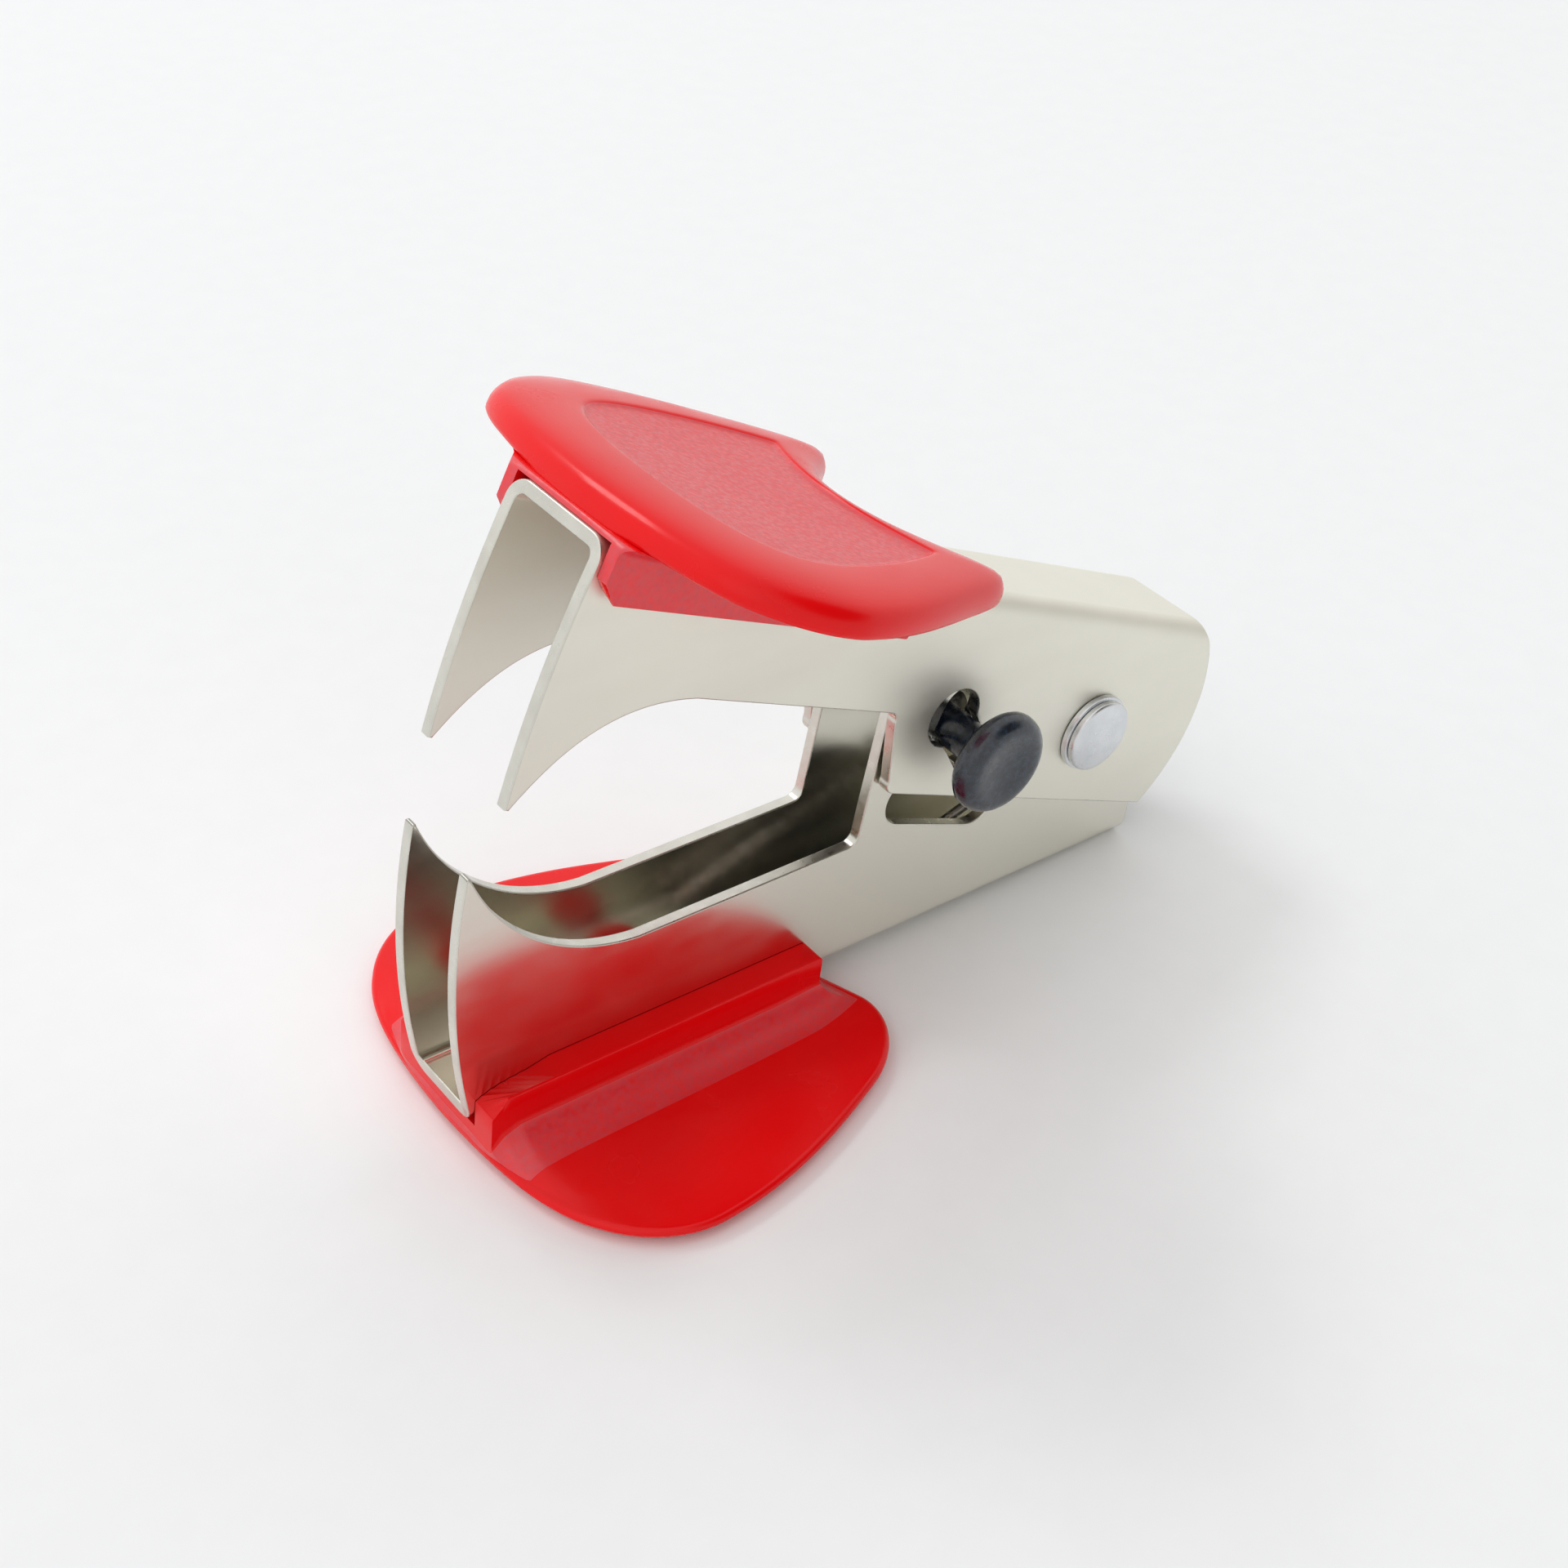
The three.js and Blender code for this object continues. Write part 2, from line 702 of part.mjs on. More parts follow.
// Lock button and its clip on the upper jaw.
const lockFrame = new THREE.Group();
lockFrame.position.set(pinPlace.x, 0, pinPlace.z);
swing.add(lockFrame);
lockFrame.add(piece("lock_button", lockButton(), blackPlastic));
const clip = piece("lock_clip", lockClip(), springSteel);
clip.rotation.y = 2.2;
lockFrame.add(clip);

// Centre the object over the origin and stand it on z = 0.
group.updateMatrixWorld(true);
const box = new THREE.Box3().setFromObject(group, true);
group.position.x = -(box.min.x + box.max.x) / 2;
group.position.z = -box.min.z;

export default group;
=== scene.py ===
# %% [markdown]
# # A jaw-type staple remover
# Two channels of nickel-plated steel are nested on one rivet, each with a moulded grip on its web.
# A torsion spring holds them open and a small button locks them shut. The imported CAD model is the
# frame of this scene: it fixes every place and every motion, and the pieces made here replace its
# plain solids with finished ones.

# %% Load the frame
import math

import bmesh
import bpy
from mathutils import Matrix, Vector
from mathutils.geometry import delaunay_2d_cdt


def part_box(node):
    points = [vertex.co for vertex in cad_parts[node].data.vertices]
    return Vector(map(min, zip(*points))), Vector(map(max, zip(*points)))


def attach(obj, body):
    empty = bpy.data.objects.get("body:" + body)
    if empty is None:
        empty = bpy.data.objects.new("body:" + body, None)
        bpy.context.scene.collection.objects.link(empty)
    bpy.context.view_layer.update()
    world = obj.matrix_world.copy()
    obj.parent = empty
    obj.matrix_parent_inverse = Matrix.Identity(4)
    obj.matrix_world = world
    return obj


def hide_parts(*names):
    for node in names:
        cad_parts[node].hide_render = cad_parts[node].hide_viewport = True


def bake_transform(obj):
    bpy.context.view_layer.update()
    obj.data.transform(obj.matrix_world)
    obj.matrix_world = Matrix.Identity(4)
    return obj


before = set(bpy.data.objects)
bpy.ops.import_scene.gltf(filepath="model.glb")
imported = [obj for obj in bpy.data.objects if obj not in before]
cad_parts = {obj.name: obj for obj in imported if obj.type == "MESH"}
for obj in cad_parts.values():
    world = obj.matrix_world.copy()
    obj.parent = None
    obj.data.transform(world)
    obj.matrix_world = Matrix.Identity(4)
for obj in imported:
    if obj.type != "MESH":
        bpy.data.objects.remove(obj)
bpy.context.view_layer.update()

# %% [markdown]
# ## Two working frames
# A press tool is drawn in the part's own frame, with the web flat. Each jaw is modelled that way, in
# millimetres, and one matrix then carries it to its place: it shrinks to metres, tilts and moves so
# that the jaw's pivot hole lies on the rivet. The rivet's axis is read from the CAD node.

# %% Working frames
MM = 0.001
stand_angle = math.atan(2.8 / 60.4)  # the lower web's tilt as it stands on the table
open_angle = math.radians(22.5)  # between the two webs at rest
lower_pivot = Vector((52.2, 0, 13.6))
upper_pivot = Vector((52.85, 0, -9.3))

low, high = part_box("pivot_rivet")
rivet_axis = (low + high) / 2
rivet_axis.y = 0


def on_rivet(angle):
    turn = Matrix.Rotation(angle, 4, "Y")
    return Matrix.Translation(rivet_axis) @ turn @ Matrix.Scale(MM, 4)


flip = Matrix.Rotation(math.pi, 4, "X")
lower_place = on_rivet(stand_angle) @ Matrix.Translation(-lower_pivot)
upper_place = on_rivet(stand_angle + open_angle) @ Matrix.Translation(-upper_pivot)
print("rivet axis, mm", [round(v / MM, 2) for v in rivet_axis])

# %% [markdown]
# ## Camera
# The camera looks down on the open mouth from the front left. Its place, its three axes and its
# focal length are set as numbers, because they belong together.


# %% Camera
def new_object(name, data):
    made = bpy.data.objects.new(name, data)
    bpy.context.scene.collection.objects.link(made)
    return made


camera_data = bpy.data.cameras.new("camera")
camera_data.sensor_width = 36
camera_data.lens = 52.17
camera_data.clip_start = 0.005
camera_data.clip_end = 20
camera = new_object("camera", camera_data)
forward = Vector((0.52104, 0.59092, -0.61590)).normalized()
right = Vector((0.78272, -0.61857, 0.06869))
right = (right - forward * right.dot(forward)).normalized()
up = right.cross(forward)
axes = Matrix((right, up, -forward)).transposed().to_4x4()
camera.matrix_world = Matrix.Translation((-0.085448, -0.091586, 0.112260)) @ axes
bpy.context.scene.camera = camera
print("lens", camera_data.lens, "mm")

# %% [markdown]
# ## Building with nodes
# Shader trees and geometry trees are both graphs of small steps. This helper adds a node, links
# whatever is a socket, and stores whatever is a number, so that a tree reads as a few plain lines.


# %% Node helper
def add_node(tree, kind, inputs=None, **settings):
    node = tree.nodes.new(kind)
    for key, value in settings.items():
        setattr(node, key, value)
    for key, value in (inputs or {}).items():
        if isinstance(value, bpy.types.NodeSocket):
            tree.links.new(value, node.inputs[key])
        else:
            node.inputs[key].default_value = value
    return node


def math_node(tree, operation, a, b=0.0):
    return add_node(tree, "ShaderNodeMath", {0: a, 1: b}, operation=operation).outputs[0]


def mix_colours(tree, share, first, second):
    first, second = ((*c, 1) if isinstance(c, tuple) else c for c in (first, second))
    inputs = {0: share, 6: first, 7: second}
    return add_node(tree, "ShaderNodeMix", inputs, data_type="RGBA").outputs[2]


# %% [markdown]
# ## Finishes
# Every finish starts from the same bench: a Principled shader, and noise read from Object
# coordinates, which stay fixed to the piece when it moves. Object coordinates are in metres here, so
# a grain of half a millimetre needs a noise scale of about 2000. Bump height is in metres as well:
# a height of a few thousandths of a millimetre is enough to break up a mirror-like reflection.


# %% Shader bench
class Finish:
    def __init__(
        self, name, colour, roughness, metallic=0.0, specular=0.5, coat=0.0, coat_roughness=0.1
    ):
        self.material = bpy.data.materials.new(name)
        self.material.use_nodes = True
        self.tree = self.material.node_tree
        self.shader = self.tree.nodes["Principled BSDF"]
        self.place = add_node(self.tree, "ShaderNodeTexCoord").outputs["Object"]
        self.normal = None
        values = {"Base Color": (*colour, 1), "Roughness": roughness, "Metallic": metallic}
        values.update({"Specular IOR Level": specular, "Coat Weight": coat})
        values["Coat Roughness"] = coat_roughness
        for socket, value in values.items():
            self.shader.inputs[socket].default_value = value
        self.material.diffuse_color = (*colour, 1)

    def noise(self, scale, detail=2.0, stretch=(1, 1, 1)):
        place = self.place
        if stretch != (1, 1, 1):
            sizes = {"Vector": place, "Scale": stretch}
            place = add_node(self.tree, "ShaderNodeMapping", sizes).outputs[0]
        inputs = {"Vector": place, "Scale": scale, "Detail": detail}
        return add_node(self.tree, "ShaderNodeTexNoise", inputs).outputs[0]

    def ramp(self, value, low, high, start=0.35, end=0.65):
        inputs = {"Value": value, "From Min": start, "From Max": end, "To Min": low, "To Max": high}
        return add_node(self.tree, "ShaderNodeMapRange", inputs, clamp=True).outputs[0]

    def roughen(self, value, low, high, start=0.35, end=0.65):
        self.tree.links.new(self.ramp(value, low, high, start, end), self.shader.inputs["Roughness"])

    def tint(self, value, first, second, start=0.35, end=0.65):
        mixed = mix_colours(self.tree, self.ramp(value, 0, 1, start, end), first, second)
        self.tree.links.new(mixed, self.shader.inputs["Base Color"])

    def bump(self, value, height_mm):
        inputs = {"Height": value, "Strength": 1.0, "Distance": height_mm * MM}
        if self.normal is not None:
            inputs["Normal"] = self.normal
        self.normal = add_node(self.tree, "ShaderNodeBump", inputs).outputs[0]
        self.tree.links.new(self.normal, self.shader.inputs["Normal"])


# %% [markdown]
# ## Nickel-plated sheet
# Plated sheet is almost a mirror with a warm, slightly yellow cast. What makes it look real is
# what it lacks of a perfect mirror: the sheet is a little wavy from the press, the rolling
# direction leaves faint lines, and handling leaves soft dull patches. The outer jaw was brushed
# before plating and is duller than the inner one. The sheared edge is coarser, because the punch
# tears the lower part of the cut.

# %% Nickel
nickel = Finish("nickel", (0.82, 0.80, 0.715), 0.2, metallic=1.0)
nickel.tint(nickel.noise(70, 3), (0.83, 0.81, 0.72), (0.81, 0.79, 0.71))
nickel.roughen(nickel.noise(160, 3, stretch=(1, 1, 2.2)), 0.17, 0.23)
nickel.bump(nickel.noise(60, 1.0), 0.012)
nickel.bump(nickel.noise(900, 3, stretch=(0.08, 1, 1)), 0.0004)

satin_nickel = Finish("satin_nickel", (0.84, 0.825, 0.74), 0.42, metallic=1.0)
satin_nickel.tint(satin_nickel.noise(60, 3), (0.855, 0.84, 0.75), (0.83, 0.815, 0.735))
satin_nickel.roughen(satin_nickel.noise(220, 3, stretch=(0.5, 1, 2)), 0.46, 0.53)
satin_nickel.bump(satin_nickel.noise(40, 1.0), 0.012)
satin_nickel.bump(satin_nickel.noise(1500, 3, stretch=(0.05, 1, 1)), 0.0008)

sheared = Finish("sheared_edge", (0.66, 0.645, 0.58), 0.3, metallic=1.0)
sheared.tint(sheared.noise(500, 3), (0.69, 0.675, 0.61), (0.62, 0.605, 0.545))
sheared.roughen(sheared.noise(1600, 3), 0.26, 0.36)
sheared.bump(sheared.noise(1500, 3, stretch=(1, 0.25, 1)), 0.0008)
print("steel finishes", nickel.material.name, satin_nickel.material.name, sheared.material.name)

# %% [markdown]
# ## Rivet and spring steel
# The rivet's head was spun down by a tool, which leaves very faint rings and a satin face. The rings
# are a sine of the distance from the rivet's axis. The spring is drawn wire with a duller skin.

# %% Rivet and spring finishes
ring_waves = 19000  # radians per metre
rivet_steel = Finish("rivet_steel", (0.74, 0.76, 0.78), 0.3, metallic=1.0)
centred = {"Vector": rivet_steel.place, "Location": [-v for v in rivet_axis]}
centred = add_node(rivet_steel.tree, "ShaderNodeMapping", centred).outputs[0]
flat = {0: centred, 1: (1, 0, 1)}
flat = add_node(rivet_steel.tree, "ShaderNodeVectorMath", flat, operation="MULTIPLY").outputs[0]
radius = add_node(rivet_steel.tree, "ShaderNodeVectorMath", {0: flat}, operation="LENGTH")
waves = math_node(rivet_steel.tree, "MULTIPLY", radius.outputs["Value"], ring_waves)
rings = math_node(rivet_steel.tree, "SINE", waves)
rivet_steel.tint(rivet_steel.noise(500, 4), (0.76, 0.78, 0.80), (0.68, 0.70, 0.73))
rivet_steel.roughen(rivet_steel.noise(900, 4), 0.24, 0.40)
rivet_steel.bump(rings, 0.0016)
rivet_steel.bump(rivet_steel.noise(1600, 3), 0.006)

spring_steel = Finish("spring_steel", (0.60, 0.60, 0.58), 0.24, metallic=1.0)
spring_steel.tint(spring_steel.noise(420, 4), (0.64, 0.64, 0.62), (0.50, 0.49, 0.46))
spring_steel.roughen(spring_steel.noise(700, 4), 0.18, 0.34)
spring_steel.bump(spring_steel.noise(2600, 3), 0.003)
print("rings every", round(2 * math.pi / ring_waves / MM, 2), "mm")

# %% [markdown]
# ## Red plastic, polished and grained
# The mould for the grips was polished on the rim and the walls and spark-eroded where the finger
# rests, so one plastic has two skins. Both share a colour. The polished skin has only the gentle
# waves of shrinkage; the grained one has a fine matte texture that scatters the light.

# %% Plastic finishes
polish = dict(specular=0.22, coat=0.06, coat_roughness=0.12)
red_polished = Finish("red_polished", (0.82, 0.002, 0.004), 0.24, **polish)
red_polished.tint(red_polished.noise(90, 3), (0.83, 0.002, 0.004), (0.79, 0.002, 0.004))
red_polished.roughen(red_polished.noise(240, 4), 0.17, 0.28)
red_polished.bump(red_polished.noise(150, 2), 0.012)
red_polished.bump(red_polished.noise(2200, 3), 0.0008)

grain = dict(specular=0.7, coat=0.3, coat_roughness=0.3)
red_grained = Finish("red_grained", (0.74, 0.008, 0.018), 0.42, **grain)
red_grained.tint(red_grained.noise(2400, 4), (0.78, 0.006, 0.014), (0.68, 0.022, 0.038))
red_grained.roughen(red_grained.noise(2800, 3), 0.36, 0.54)
red_grained.bump(red_grained.noise(2000, 4), 0.016)

navy_plastic = Finish("navy_plastic", (0.010, 0.017, 0.030), 0.24, specular=0.6, coat=0.3)
specks = navy_plastic.noise(2600, 4)
navy_plastic.tint(specks, (0.006, 0.011, 0.020), (0.022, 0.036, 0.060), 0.45, 0.7)
navy_plastic.roughen(navy_plastic.noise(1200, 4), 0.18, 0.36)
navy_plastic.bump(navy_plastic.noise(1100, 3), 0.010)
plastics = (red_polished, red_grained, navy_plastic)
print("plastic finishes", [finish.material.name for finish in plastics])

# %% [markdown]
# ## Meshes and outlines
# Flat shapes are kept as loops of (x, y) points. A loop that bounds material runs anticlockwise and
# a hole runs clockwise, so the material is always on the left and one function can step any loop
# into the material.


# %% Outline helpers
def bezier(points, steps):
    """Points of a Bezier curve of any degree, without its first one."""
    result = []
    for i in range(1, steps + 1):
        row = [Vector(p) for p in points]
        while len(row) > 1:
            row = [a.lerp(b, i / steps) for a, b in zip(row, row[1:])]
        result.append(tuple(row[0]))
    return result


def arc(centre, size, start, end, steps):
    turns = [start + (end - start) * i / steps for i in range(steps + 1)]
    return [(centre[0] + size * math.cos(a), centre[1] + size * math.sin(a)) for a in turns]


def area(loop):
    return sum(a[0] * b[1] - b[0] * a[1] for a, b in zip(loop, loop[1:] + loop[:1])) / 2


def inside(point, loop):
    result = False
    for a, b in zip(loop, loop[1:] + loop[:1]):
        if (a[1] > point[1]) != (b[1] > point[1]):
            reach = a[0] + (b[0] - a[0]) * (point[1] - a[1]) / (b[1] - a[1])
            result ^= point[0] < reach
    return result


def inward(loop):
    """For each point of a loop, the step that moves it one unit into the material on its left."""
    result = []
    for before, here, after in zip(loop[-1:] + loop[:-1], loop, loop[1:] + loop[:1]):
        first = (Vector(here) - Vector(before)).normalized()
        second = (Vector(after) - Vector(here)).normalized()
        normals = [Vector((-d.y, d.x)) for d in (first, second)]
        middle = (normals[0] + normals[1]).normalized()
        result.append(middle / max(middle.dot(normals[0]), 0.62))
    return result


def triangulate(loops, extra_edges=(), extra_points=()):
    """Points, their numbers in the lists given here, and triangles, each with its middle."""
    points = [Vector(p) for loop in loops for p in loop] + [Vector(p) for p in extra_points]
    edges, first = list(extra_edges), 0
    for loop in loops:
        edges += [(first + i, first + (i + 1) % len(loop)) for i in range(len(loop))]
        first += len(loop)
    made, _, triangles, origin, _, _ = delaunay_2d_cdt(points, edges, [], 0, 1e-7)
    middles = [sum((made[i] for i in triangle), Vector((0, 0))) / 3 for triangle in triangles]
    return made, origin, list(zip(triangles, middles))


def fill(loops, extra_edges=(), extra_points=()):
    """Triangles between the loops, as numbers into one list of all their points."""
    _, origin, triangles = triangulate(loops, extra_edges, extra_points)
    result = []
    for triangle, middle in triangles:
        if sum(inside(middle, loop) for loop in loops) % 2:
            result.append([origin[i][0] for i in triangle])
    return result


# %% Mesh helpers
def new_piece(name, vertices, faces, finishes, slots=None):
    mesh = bpy.data.meshes.new(name)
    mesh.from_pydata([tuple(v) for v in vertices], [], faces)
    for finish in finishes:
        mesh.materials.append(finish.material)
    if slots:
        mesh.polygons.foreach_set("material_index", slots)
    work = bmesh.new()
    work.from_mesh(mesh)
    bmesh.ops.recalc_face_normals(work, faces=work.faces)
    work.to_mesh(mesh)
    work.free()
    return new_object(name, mesh)


def settle(piece, place=None, crease=None):
    """Makes what the modifiers show a plain mesh, in its place, with the object at the origin."""
    graph = bpy.context.evaluated_depsgraph_get()
    result = bpy.data.meshes.new_from_object(
        piece.evaluated_get(graph), preserve_all_data_layers=True, depsgraph=graph
    )
    old = piece.data
    piece.modifiers.clear()
    piece.data = result
    bpy.data.meshes.remove(old)
    result.name = piece.name
    if place is not None:
        result.transform(place)
    if crease is not None:
        result.shade_smooth()
        result.set_sharp_from_angle(angle=math.radians(crease))
    return piece


def report(piece):
    axes = list(zip(*(v.co for v in piece.data.vertices)))
    size = [round((max(values) - min(values)) / MM, 1) for values in axes]
    print(f"{piece.name}: {len(piece.data.polygons)} faces, {size} mm")


def rings_to_mesh(rings):
    """Vertices and quads for rings of equally many points, each joined to the next."""
    count = len(rings[0])
    vertices = [p for ring in rings for p in ring]
    quads = []
    for r in range(len(rings) - 1):
        for i in range(count):
            a, b = r * count + i, r * count + (i + 1) % count
            quads.append((a, b, b + count, a + count))
    return vertices, quads


# %% [markdown]
# ## The jaws: stamp, then fold
# A jaw is one sheet: a flat blank is punched with all its holes and folded over a block into a
# channel. Modelling it the same way gives true bends, an even wall and holes that are square to the
# sheet. The blank is drawn flat as (x, v, depth), with v running across the channel. A node tree
# then folds it, so the width, the bend radius and the thickness stay adjustable.

# %% Sheet sizes
sheet = 0.9
bend = 1.5  # outside radius
lower_width = 7.1
upper_width = 9.3
edge_round = 0.11  # the rounded lip of a cut edge
BEND_STRIPS = 9


def web_half(width):
    return width / 2 - bend


def flat_height(z, width):
    """Where a height on the flange lies on the flat blank."""
    return web_half(width) + (bend - sheet / 2) * math.pi / 2 + z - bend


print("blank width of a 20 mm flange pair", round(2 * flat_height(20, lower_width), 2), "mm")


# %% Folding tree
def new_tree(name, made, **given):
    """A geometry tree with one input for each name and kind given, and what comes in by them."""
    tree = bpy.data.node_groups.new(name, "GeometryNodeTree")
    for label, kind in given.items():
        label = label.replace("_", " ").capitalize()
        tree.interface.new_socket(label, in_out="INPUT", socket_type="NodeSocket" + kind)
    tree.interface.new_socket(made, in_out="OUTPUT", socket_type="NodeSocketGeometry")
    return tree, add_node(tree, "NodeGroupInput").outputs[0 : len(given)]


def folding_tree():
    """The web stays flat, the next stretch rolls round the bend, and the rest stands up."""
    sizes = dict(web_half_width="Float", bend_radius="Float", sheet_thickness="Float")
    skins = dict(sheet_finish="Material", edge_finish="Material")
    tree, given = new_tree("fold_sheet", "Jaw", blank="Geometry", **sizes, **skins)
    blank, half, radius, thick, sheet_finish, edge_finish = given

    def step(operation, a, b=0.0):
        return math_node(tree, operation, a, b)

    spot = add_node(tree, "GeometryNodeInputPosition").outputs[0]
    x, v, depth = add_node(tree, "ShaderNodeSeparateXYZ", {0: spot}).outputs[0:3]
    out = step("ABSOLUTE", v)
    past = step("MAXIMUM", step("SUBTRACT", out, half), 0.0)
    neutral = step("SUBTRACT", radius, step("MULTIPLY", thick, 0.5))
    quarter = step("MULTIPLY", neutral, math.pi / 2)
    angle = step("DIVIDE", step("MINIMUM", past, quarter), neutral)
    stand = step("MAXIMUM", step("SUBTRACT", past, quarter), 0.0)
    reach = step("SUBTRACT", radius, depth)
    across = step("ADD", step("MINIMUM", out, half), step("MULTIPLY", reach, step("SINE", angle)))
    rise = step("SUBTRACT", radius, step("MULTIPLY", reach, step("COSINE", angle)))
    height = step("ADD", rise, stand)
    y = step("MULTIPLY", across, step("SIGN", v))
    folded = add_node(tree, "ShaderNodeCombineXYZ", {0: x, 1: y, 2: height}).outputs[0]
    moved = {"Geometry": blank, "Position": folded}
    moved = add_node(tree, "GeometryNodeSetPosition", moved).outputs[0]
    cut = add_node(tree, "GeometryNodeInputNamedAttribute", {"Name": "cut_edge"}, data_type="BOOLEAN")
    real = add_node(tree, "GeometryNodeRealizeInstances", {"Geometry": moved}).outputs[0]
    plain = {"Geometry": real, "Material": sheet_finish}
    plain = add_node(tree, "GeometryNodeSetMaterial", plain).outputs[0]
    edged = {"Geometry": plain, "Selection": cut.outputs[0], "Material": edge_finish}
    edged = add_node(tree, "GeometryNodeSetMaterial", edged).outputs[0]
    add_node(tree, "NodeGroupOutput", {0: edged})
    return tree


fold_sheet = folding_tree()
print("folding tree", len(fold_sheet.nodes), "nodes")


# %% Run a tree on a piece
def apply_tree(piece, tree, **values):
    modifier = piece.modifiers.new(tree.name, "NODES")
    modifier.node_group = tree
    for item in tree.interface.items_tree:
        key = getattr(item, "name", "").replace(" ", "_").lower()
        if item.item_type == "SOCKET" and item.in_out == "INPUT" and key in values:
            modifier[item.identifier] = values.pop(key)
    assert not values, values


# %% [markdown]
# ## The blank
# The side profile of a jaw runs from the web up the fang's front edge, over the tip, down its hollow
# back to the neck, up the step to the ear and round the pivot. Both flanges have it, so half a
# profile is drawn and mirrored. Where the outline crosses a bend it gets one point per strip, and
# matching points at the two ends are tied by an edge, which keeps the bend evenly divided.

# %% Side profiles
lower_jaw = dict(
    width=lower_width, fang=20.8, tip=-0.9, bow=2.1, neck=10.6, throat=12.5, step=31, lean=1.2
)
upper_jaw = dict(
    width=upper_width, fang=17.4, tip=0.6, bow=0.9, neck=9.2, throat=12, step=30.9, lean=2.3
)
lower_jaw.update(ear=21.8, centre=(52.2, 13.6), heel=8.2, top=math.pi / 2, straight=True)
upper_jaw.update(ear=15.35, centre=(52.85, 9.3), heel=12.5, straight=False)
upper_jaw["top"] = math.asin((15.35 - 9.3) / 12.5)  # where the ear's flat meets the heel


def front_edge(jaw, z):
    t = z / jaw["fang"]
    return 2 * t * (1 - t) * (jaw["tip"] / 2 - jaw["bow"]) + t * t * jaw["tip"]


def rear_edge(jaw, z):
    x, height = jaw["centre"]
    if jaw["straight"]:
        return x + jaw["heel"]
    return x + math.sqrt(jaw["heel"] ** 2 - (z - height) ** 2)


def side_profile(jaw):
    """Points (x, z) from the front of the bend's top to its rear."""
    tip, fang, neck, step, lean, ear = map(jaw.get, "tip fang neck step lean ear".split())
    curve = fang - neck
    heights = [bend + (fang - bend) * i / 26 for i in range(1, 27)]
    points = [(front_edge(jaw, z), z) for z in heights]
    points.append((tip + 0.3, fang))
    hollow = [(tip + 0.3, fang), (tip + 2.1, fang - 0.45 * curve)]
    hollow += [(jaw["throat"] * 0.45, neck + 0.07 * curve), (jaw["throat"], neck)]
    points += bezier(hollow, 36)
    points += [(jaw["throat"] + (step - 0.8 - jaw["throat"]) * i / 8, neck) for i in range(1, 9)]
    points += bezier([(step - 0.8, neck), (step, neck), (step + 0.1, neck + 0.8)], 8)
    points.append((step + lean - 0.1, ear - 1))
    points += bezier([points[-1], (step + lean, ear), (step + lean + 1, ear)], 8)
    end = 0.0 if jaw["straight"] else math.asin((bend - jaw["centre"][1]) / jaw["heel"])
    points += arc(jaw["centre"], jaw["heel"], jaw["top"], end, 40)
    if not jaw["straight"]:
        points.pop()
    return points


def bend_points(jaw, edge):
    """Points of an end edge across one bend, from the web's flat part to the flange."""
    turns = [math.pi / 2 * i / BEND_STRIPS for i in range(BEND_STRIPS + 1)]
    flat = web_half(jaw["width"])
    return [(edge(jaw, bend * (1 - math.cos(a))), flat + (bend - sheet / 2) * a) for a in turns]


def blank_outline(jaw):
    """The whole blank's edge, anticlockwise, and the point pairs that the bends tie together."""
    side = [(x, flat_height(z, jaw["width"])) for x, z in side_profile(jaw)]
    front, rear = bend_points(jaw, front_edge), bend_points(jaw, rear_edge)
    half = front + side + rear[::-1]
    loop = half[::-1] + [(x, -v) for x, v in half]
    count = len(half)
    strips = [(count - 1 - i, i) for i in range(len(front))]
    ties = strips + [(2 * count - 1 - a, 2 * count - 1 - b) for a, b in strips]
    return loop, ties


outline, ties = blank_outline(lower_jaw)
print("lower blank", len(outline), "points, area", round(area(outline)), "square mm")

# %% [markdown]
# ## Holes
# The rivet, the grip's posts and the lock's pin need holes. Two of the lock's holes are unions of
# simple shapes, so their common edge is found by triangulating the shapes together and keeping the
# edges that have filled ground on one side only.


# %% Hole shapes
def round_hole(x, y, size, steps=44):
    return arc((x, y), size, 0, 2 * math.pi, steps)[:-1]


def slot_hole(a, b, size, steps=16):
    angle = math.atan2(b[1] - a[1], b[0] - a[0])
    right_end = arc(b, size, angle - math.pi / 2, angle + math.pi / 2, steps)
    return right_end + arc(a, size, angle + math.pi / 2, angle + 1.5 * math.pi, steps)


def union(shapes, shortest=0.09):
    made, _, triangles = triangulate(shapes)
    ground = set()
    for triangle, middle in triangles:
        if any(inside(middle, shape) for shape in shapes):
            corners = list(triangle)
            ground.update(zip(corners, corners[1:] + corners[:1]))
    follow = {a: b for a, b in ground if (b, a) not in ground}
    start = here = next(iter(sorted(follow)))
    loop = []
    while True:
        if not loop or (made[here] - Vector(loop[-1])).length > shortest:
            loop.append(tuple(made[here]))
        here = follow[here]
        if here == start:
            return loop


# %% Holes of the two jaws
rivet_hole = 2.02
post_hole = 1.45
post_places = (8, 17.5)
pin_play = 1.6  # radius of the lock pin and its play
pin_place = Vector((-14.32, -1.16))  # from the rivet, along and across the upper web
slide = Vector((math.cos(math.radians(-36)), math.sin(math.radians(-36))))
lock_travel = 2.2
keyhole_back = 2.19  # from the pin back to the keyhole's wide end
keyhole_radius = 2.25
arc_end = math.radians(156)  # upper end of the pin's arc, about the rivet
window_leg = ((35.35, 12.85), (42.4, 10.05), 1.95)  # its two ends and its radius


def swung(p, angle):
    along = p.x * math.cos(angle) + p.y * math.sin(angle)
    return Vector((along, p.y * math.cos(angle) - p.x * math.sin(angle)))


